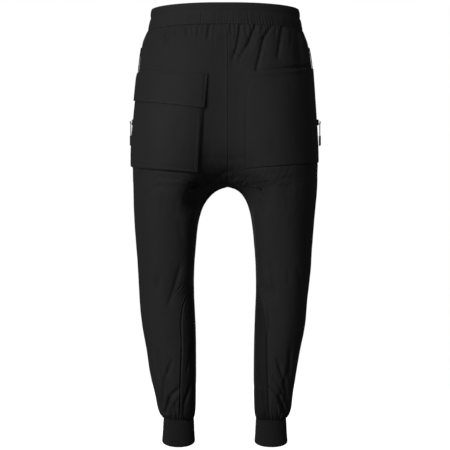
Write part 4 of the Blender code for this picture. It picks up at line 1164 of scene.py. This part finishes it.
stitches = [place for row in ROWS if len(row) > 3 for place in laid(row, STITCH_PITCH)]
lay_beads("seam_stitches", stitches, {}, THREADS)

# %% [markdown]
# ## Seam allowances
# Inside a garment the two edges of each seam are overlocked together into one narrow flange. It
# closes the hairline between two panels from behind. It is a ribbon of cloth along each seam.

# %% Ribbons
ALLOWANCE = 0.0105          # width of an overlocked edge
ALLOWANCE_WALL = 0.0006
ALLOWANCE_DEPTH = 0.0034    # of its outer face under the cloth's own
ALLOWANCE_STEP = 0.004
BESIDE_SEAM = 0.0035        # where the cloth on both sides of a seam is found
SEAM_GAPE = 0.02            # two finds further apart than this aren't one seam
RIBBON_LEAP = 0.03


def add_ribbon(name, rows, width, wall, depth, finish):
    """A flat ribbon along rows of (point, out) pairs, with its outer face under the cloth by depth."""
    points = []
    faces = []
    for row in rows:
        places, normals = (np.array([tuple(pair[k]) for pair in row]) for k in (0, 1))
        for _ in range(3):
            normals[1:-1] = (normals[:-2] + normals[1:-1] + normals[2:]) / 3.0
        normals /= np.linalg.norm(normals, axis=1, keepdims=True)
        across = np.cross(np.gradient(places, axis=0), normals)
        across /= np.linalg.norm(across, axis=1, keepdims=True) + 1e-12
        start = len(points)
        for place, out, side in zip(places, normals, across):
            left, right = (place - out * depth + side * beside for beside in (-width / 2, width / 2))
            points += [left, right, right - out * wall, left - out * wall]
        end = len(points) - 4
        for i in range(start, end, 4):
            faces += [(i + k, i + (k + 1) % 4, i + (k + 1) % 4 + 4, i + k + 4) for k in range(4)]
        faces += [(start + 3, start + 2, start + 1, start), (end, end + 1, end + 2, end + 3)]
    piece = add_piece(name, points, faces)
    add_threads(piece.data, read_points(piece.data))
    finish_cloth(piece, finish)
    return piece


def joined_over(side, corners, step):
    """A row along a seam, each point halfway between the cloth on its two sides."""
    row = []
    for across, height in in_steps(corners, step):
        pair = [cast(side, across + beside, height, SKIN) for beside in (-BESIDE_SEAM, BESIDE_SEAM)]
        if all(pair) and (pair[0][0] - pair[1][0]).length < SEAM_GAPE:
            row.append(((pair[0][0] + pair[1][0]) / 2, (pair[0][1] + pair[1][1]).normalized()))
    return unbroken(row, RIBBON_LEAP)


CROTCH_FRONT_TO_BACK = [(-0.0045, -0.085), (-0.0045, 0.0), (-0.0045, 0.100)]
SIDE_SEAM = [(MIDDLE, -0.030), (MIDDLE, -0.300), (MIDDLE, -0.600), (MIDDLE, -0.884)]
SEAMS = (("back", CENTRE_BACK), ("front", CENTRE_FRONT), ("below", CROTCH_FRONT_TO_BACK),
         ("left", SIDE_SEAM), ("right", SIDE_SEAM))
rows = [joined_over(side, seam, ALLOWANCE_STEP) for side, seam in SEAMS]
rows = [row for row in rows if len(row) > 3]
ALLOWANCE_LENGTH = sum((b[0] - a[0]).length for row in rows for a, b in zip(row, row[1:]))
PIECES["allowances"] = add_ribbon("seam_allowances", rows, ALLOWANCE, ALLOWANCE_WALL, ALLOWANCE_DEPTH,
                                  CLOTH)
print("allowances:", round(ALLOWANCE_LENGTH, 3), "m")

# %% [markdown]
# ## Zips
# A coil zip in each side seam: two woven tapes, and between them a coil whose turns look like small
# teeth. The tape is a ribbon over the seam, and the bead tree sets the turns on it, one by one.

# %% Zips
ZIP_ENDS = [(MIDDLE, -0.0615), (MIDDLE, -0.2345)]
ZIP_WIDTH = 0.0064
ZIP_WALL = 0.0014
ZIP_LIFT = 0.0019           # of the tape's outer face over the cloth
ZIP_STEP = 0.0022
TOOTH = 0.0016              # from one turn of the coil to the next
TOOTH_SIZES = {"Length": 0.0026, "Width": 0.0009, "Height": 0.0011}
TOOTH_LIFT = 0.0002
TOOTH_BESIDE = 0.0009       # of each half of a turn from the middle
for side in ("left", "right"):
    node = "zip_" + side
    row = joined_over(side, ZIP_ENDS, ZIP_STEP)
    PIECES[node] = add_ribbon(node + "_tape", [row], ZIP_WIDTH, ZIP_WALL, -ZIP_LIFT, TAPE)
    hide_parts(node)
    raised = [(point + out * (ZIP_LIFT + TOOTH_LIFT), out) for point, out in row]
    teeth = []
    for place, along, out in laid(raised, TOOTH):
        beside = np.cross(along, out)
        beside *= TOOTH_BESIDE / (np.linalg.norm(beside) + 1e-12)
        shift = along / (np.linalg.norm(along) + 1e-12) * TOOTH / 4
        teeth += [(place + beside + shift, beside, out), (place - beside - shift, beside, out)]
    lay_beads(node + "_teeth", teeth, TOOTH_SIZES, MOULDED)

# %% [markdown]
# ## What was cut
# Each piece of cloth has the flat size that it was cut to, before it was sewn, gathered and worn.

# %% Sheets
Cut = namedtuple("Cut", "piece width length area held rests_on")
CUTS = (
    Cut("back_left", 0.270, 0.890, 0.204, "gathered", ("waistband", "front_left")),
    Cut("back_right", 0.262, 0.890, 0.198, "gathered", ("waistband", "front_right")),
    Cut("front_left", 0.285, 0.890, 0.226, "gathered", ("waistband", "back_left")),
    Cut("front_right", 0.278, 0.890, 0.219, "gathered", ("waistband", "back_right")),
    Cut("calf_inset_left", 0.052, 0.300, 0.0121, "gathered", ("back_left", "front_left")),
    Cut("calf_inset_right", 0.052, 0.300, 0.0119, "gathered", ("back_right", "front_right")),
    Cut("waistband", 0.050, 0.960, None, "gathered", ("back_left", "front_left")),
    Cut("cuff_left", 0.058, 0.230, None, "stretched", ("back_left", "front_left")),
    Cut("cuff_right", 0.058, 0.230, None, "stretched", ("back_right", "front_right")),
    Cut("cargo_pocket", 0.235, 0.215, 0.048, "stretched", ("back_left",)),
    Cut("cargo_flap", 0.205, 0.087, 0.0176, "stretched", ("back_left", "cargo_pocket")),
    Cut("patch_pocket", 0.235, 0.222, 0.050, "stretched", ("back_right",)),
    Cut("allowances", ALLOWANCE, ALLOWANCE_LENGTH, None, "laid", ("back_left", "back_right")),
    Cut("zip_left", 0.0100, 0.177, None, "laid", ("back_left", "front_left")),
    Cut("zip_right", 0.0100, 0.177, None, "laid", ("back_right", "front_right")),
)
for cut in CUTS:
    piece = PIECES[cut.piece]
    print(piece.name, outer_area(piece), "m2 of", cut.width, "x", cut.length)

# %% [markdown]
# ## Last steps
# The size of the dressed garment's box is printed.

# %% Finish
for node in ("slider_left", "slider_right", "pull_left", "pull_right"):
    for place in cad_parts[node].material_slots:
        place.material = MOULDED

low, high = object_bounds()
print("dressed size:", [round(b - a, 4) for a, b in zip(low, high)])
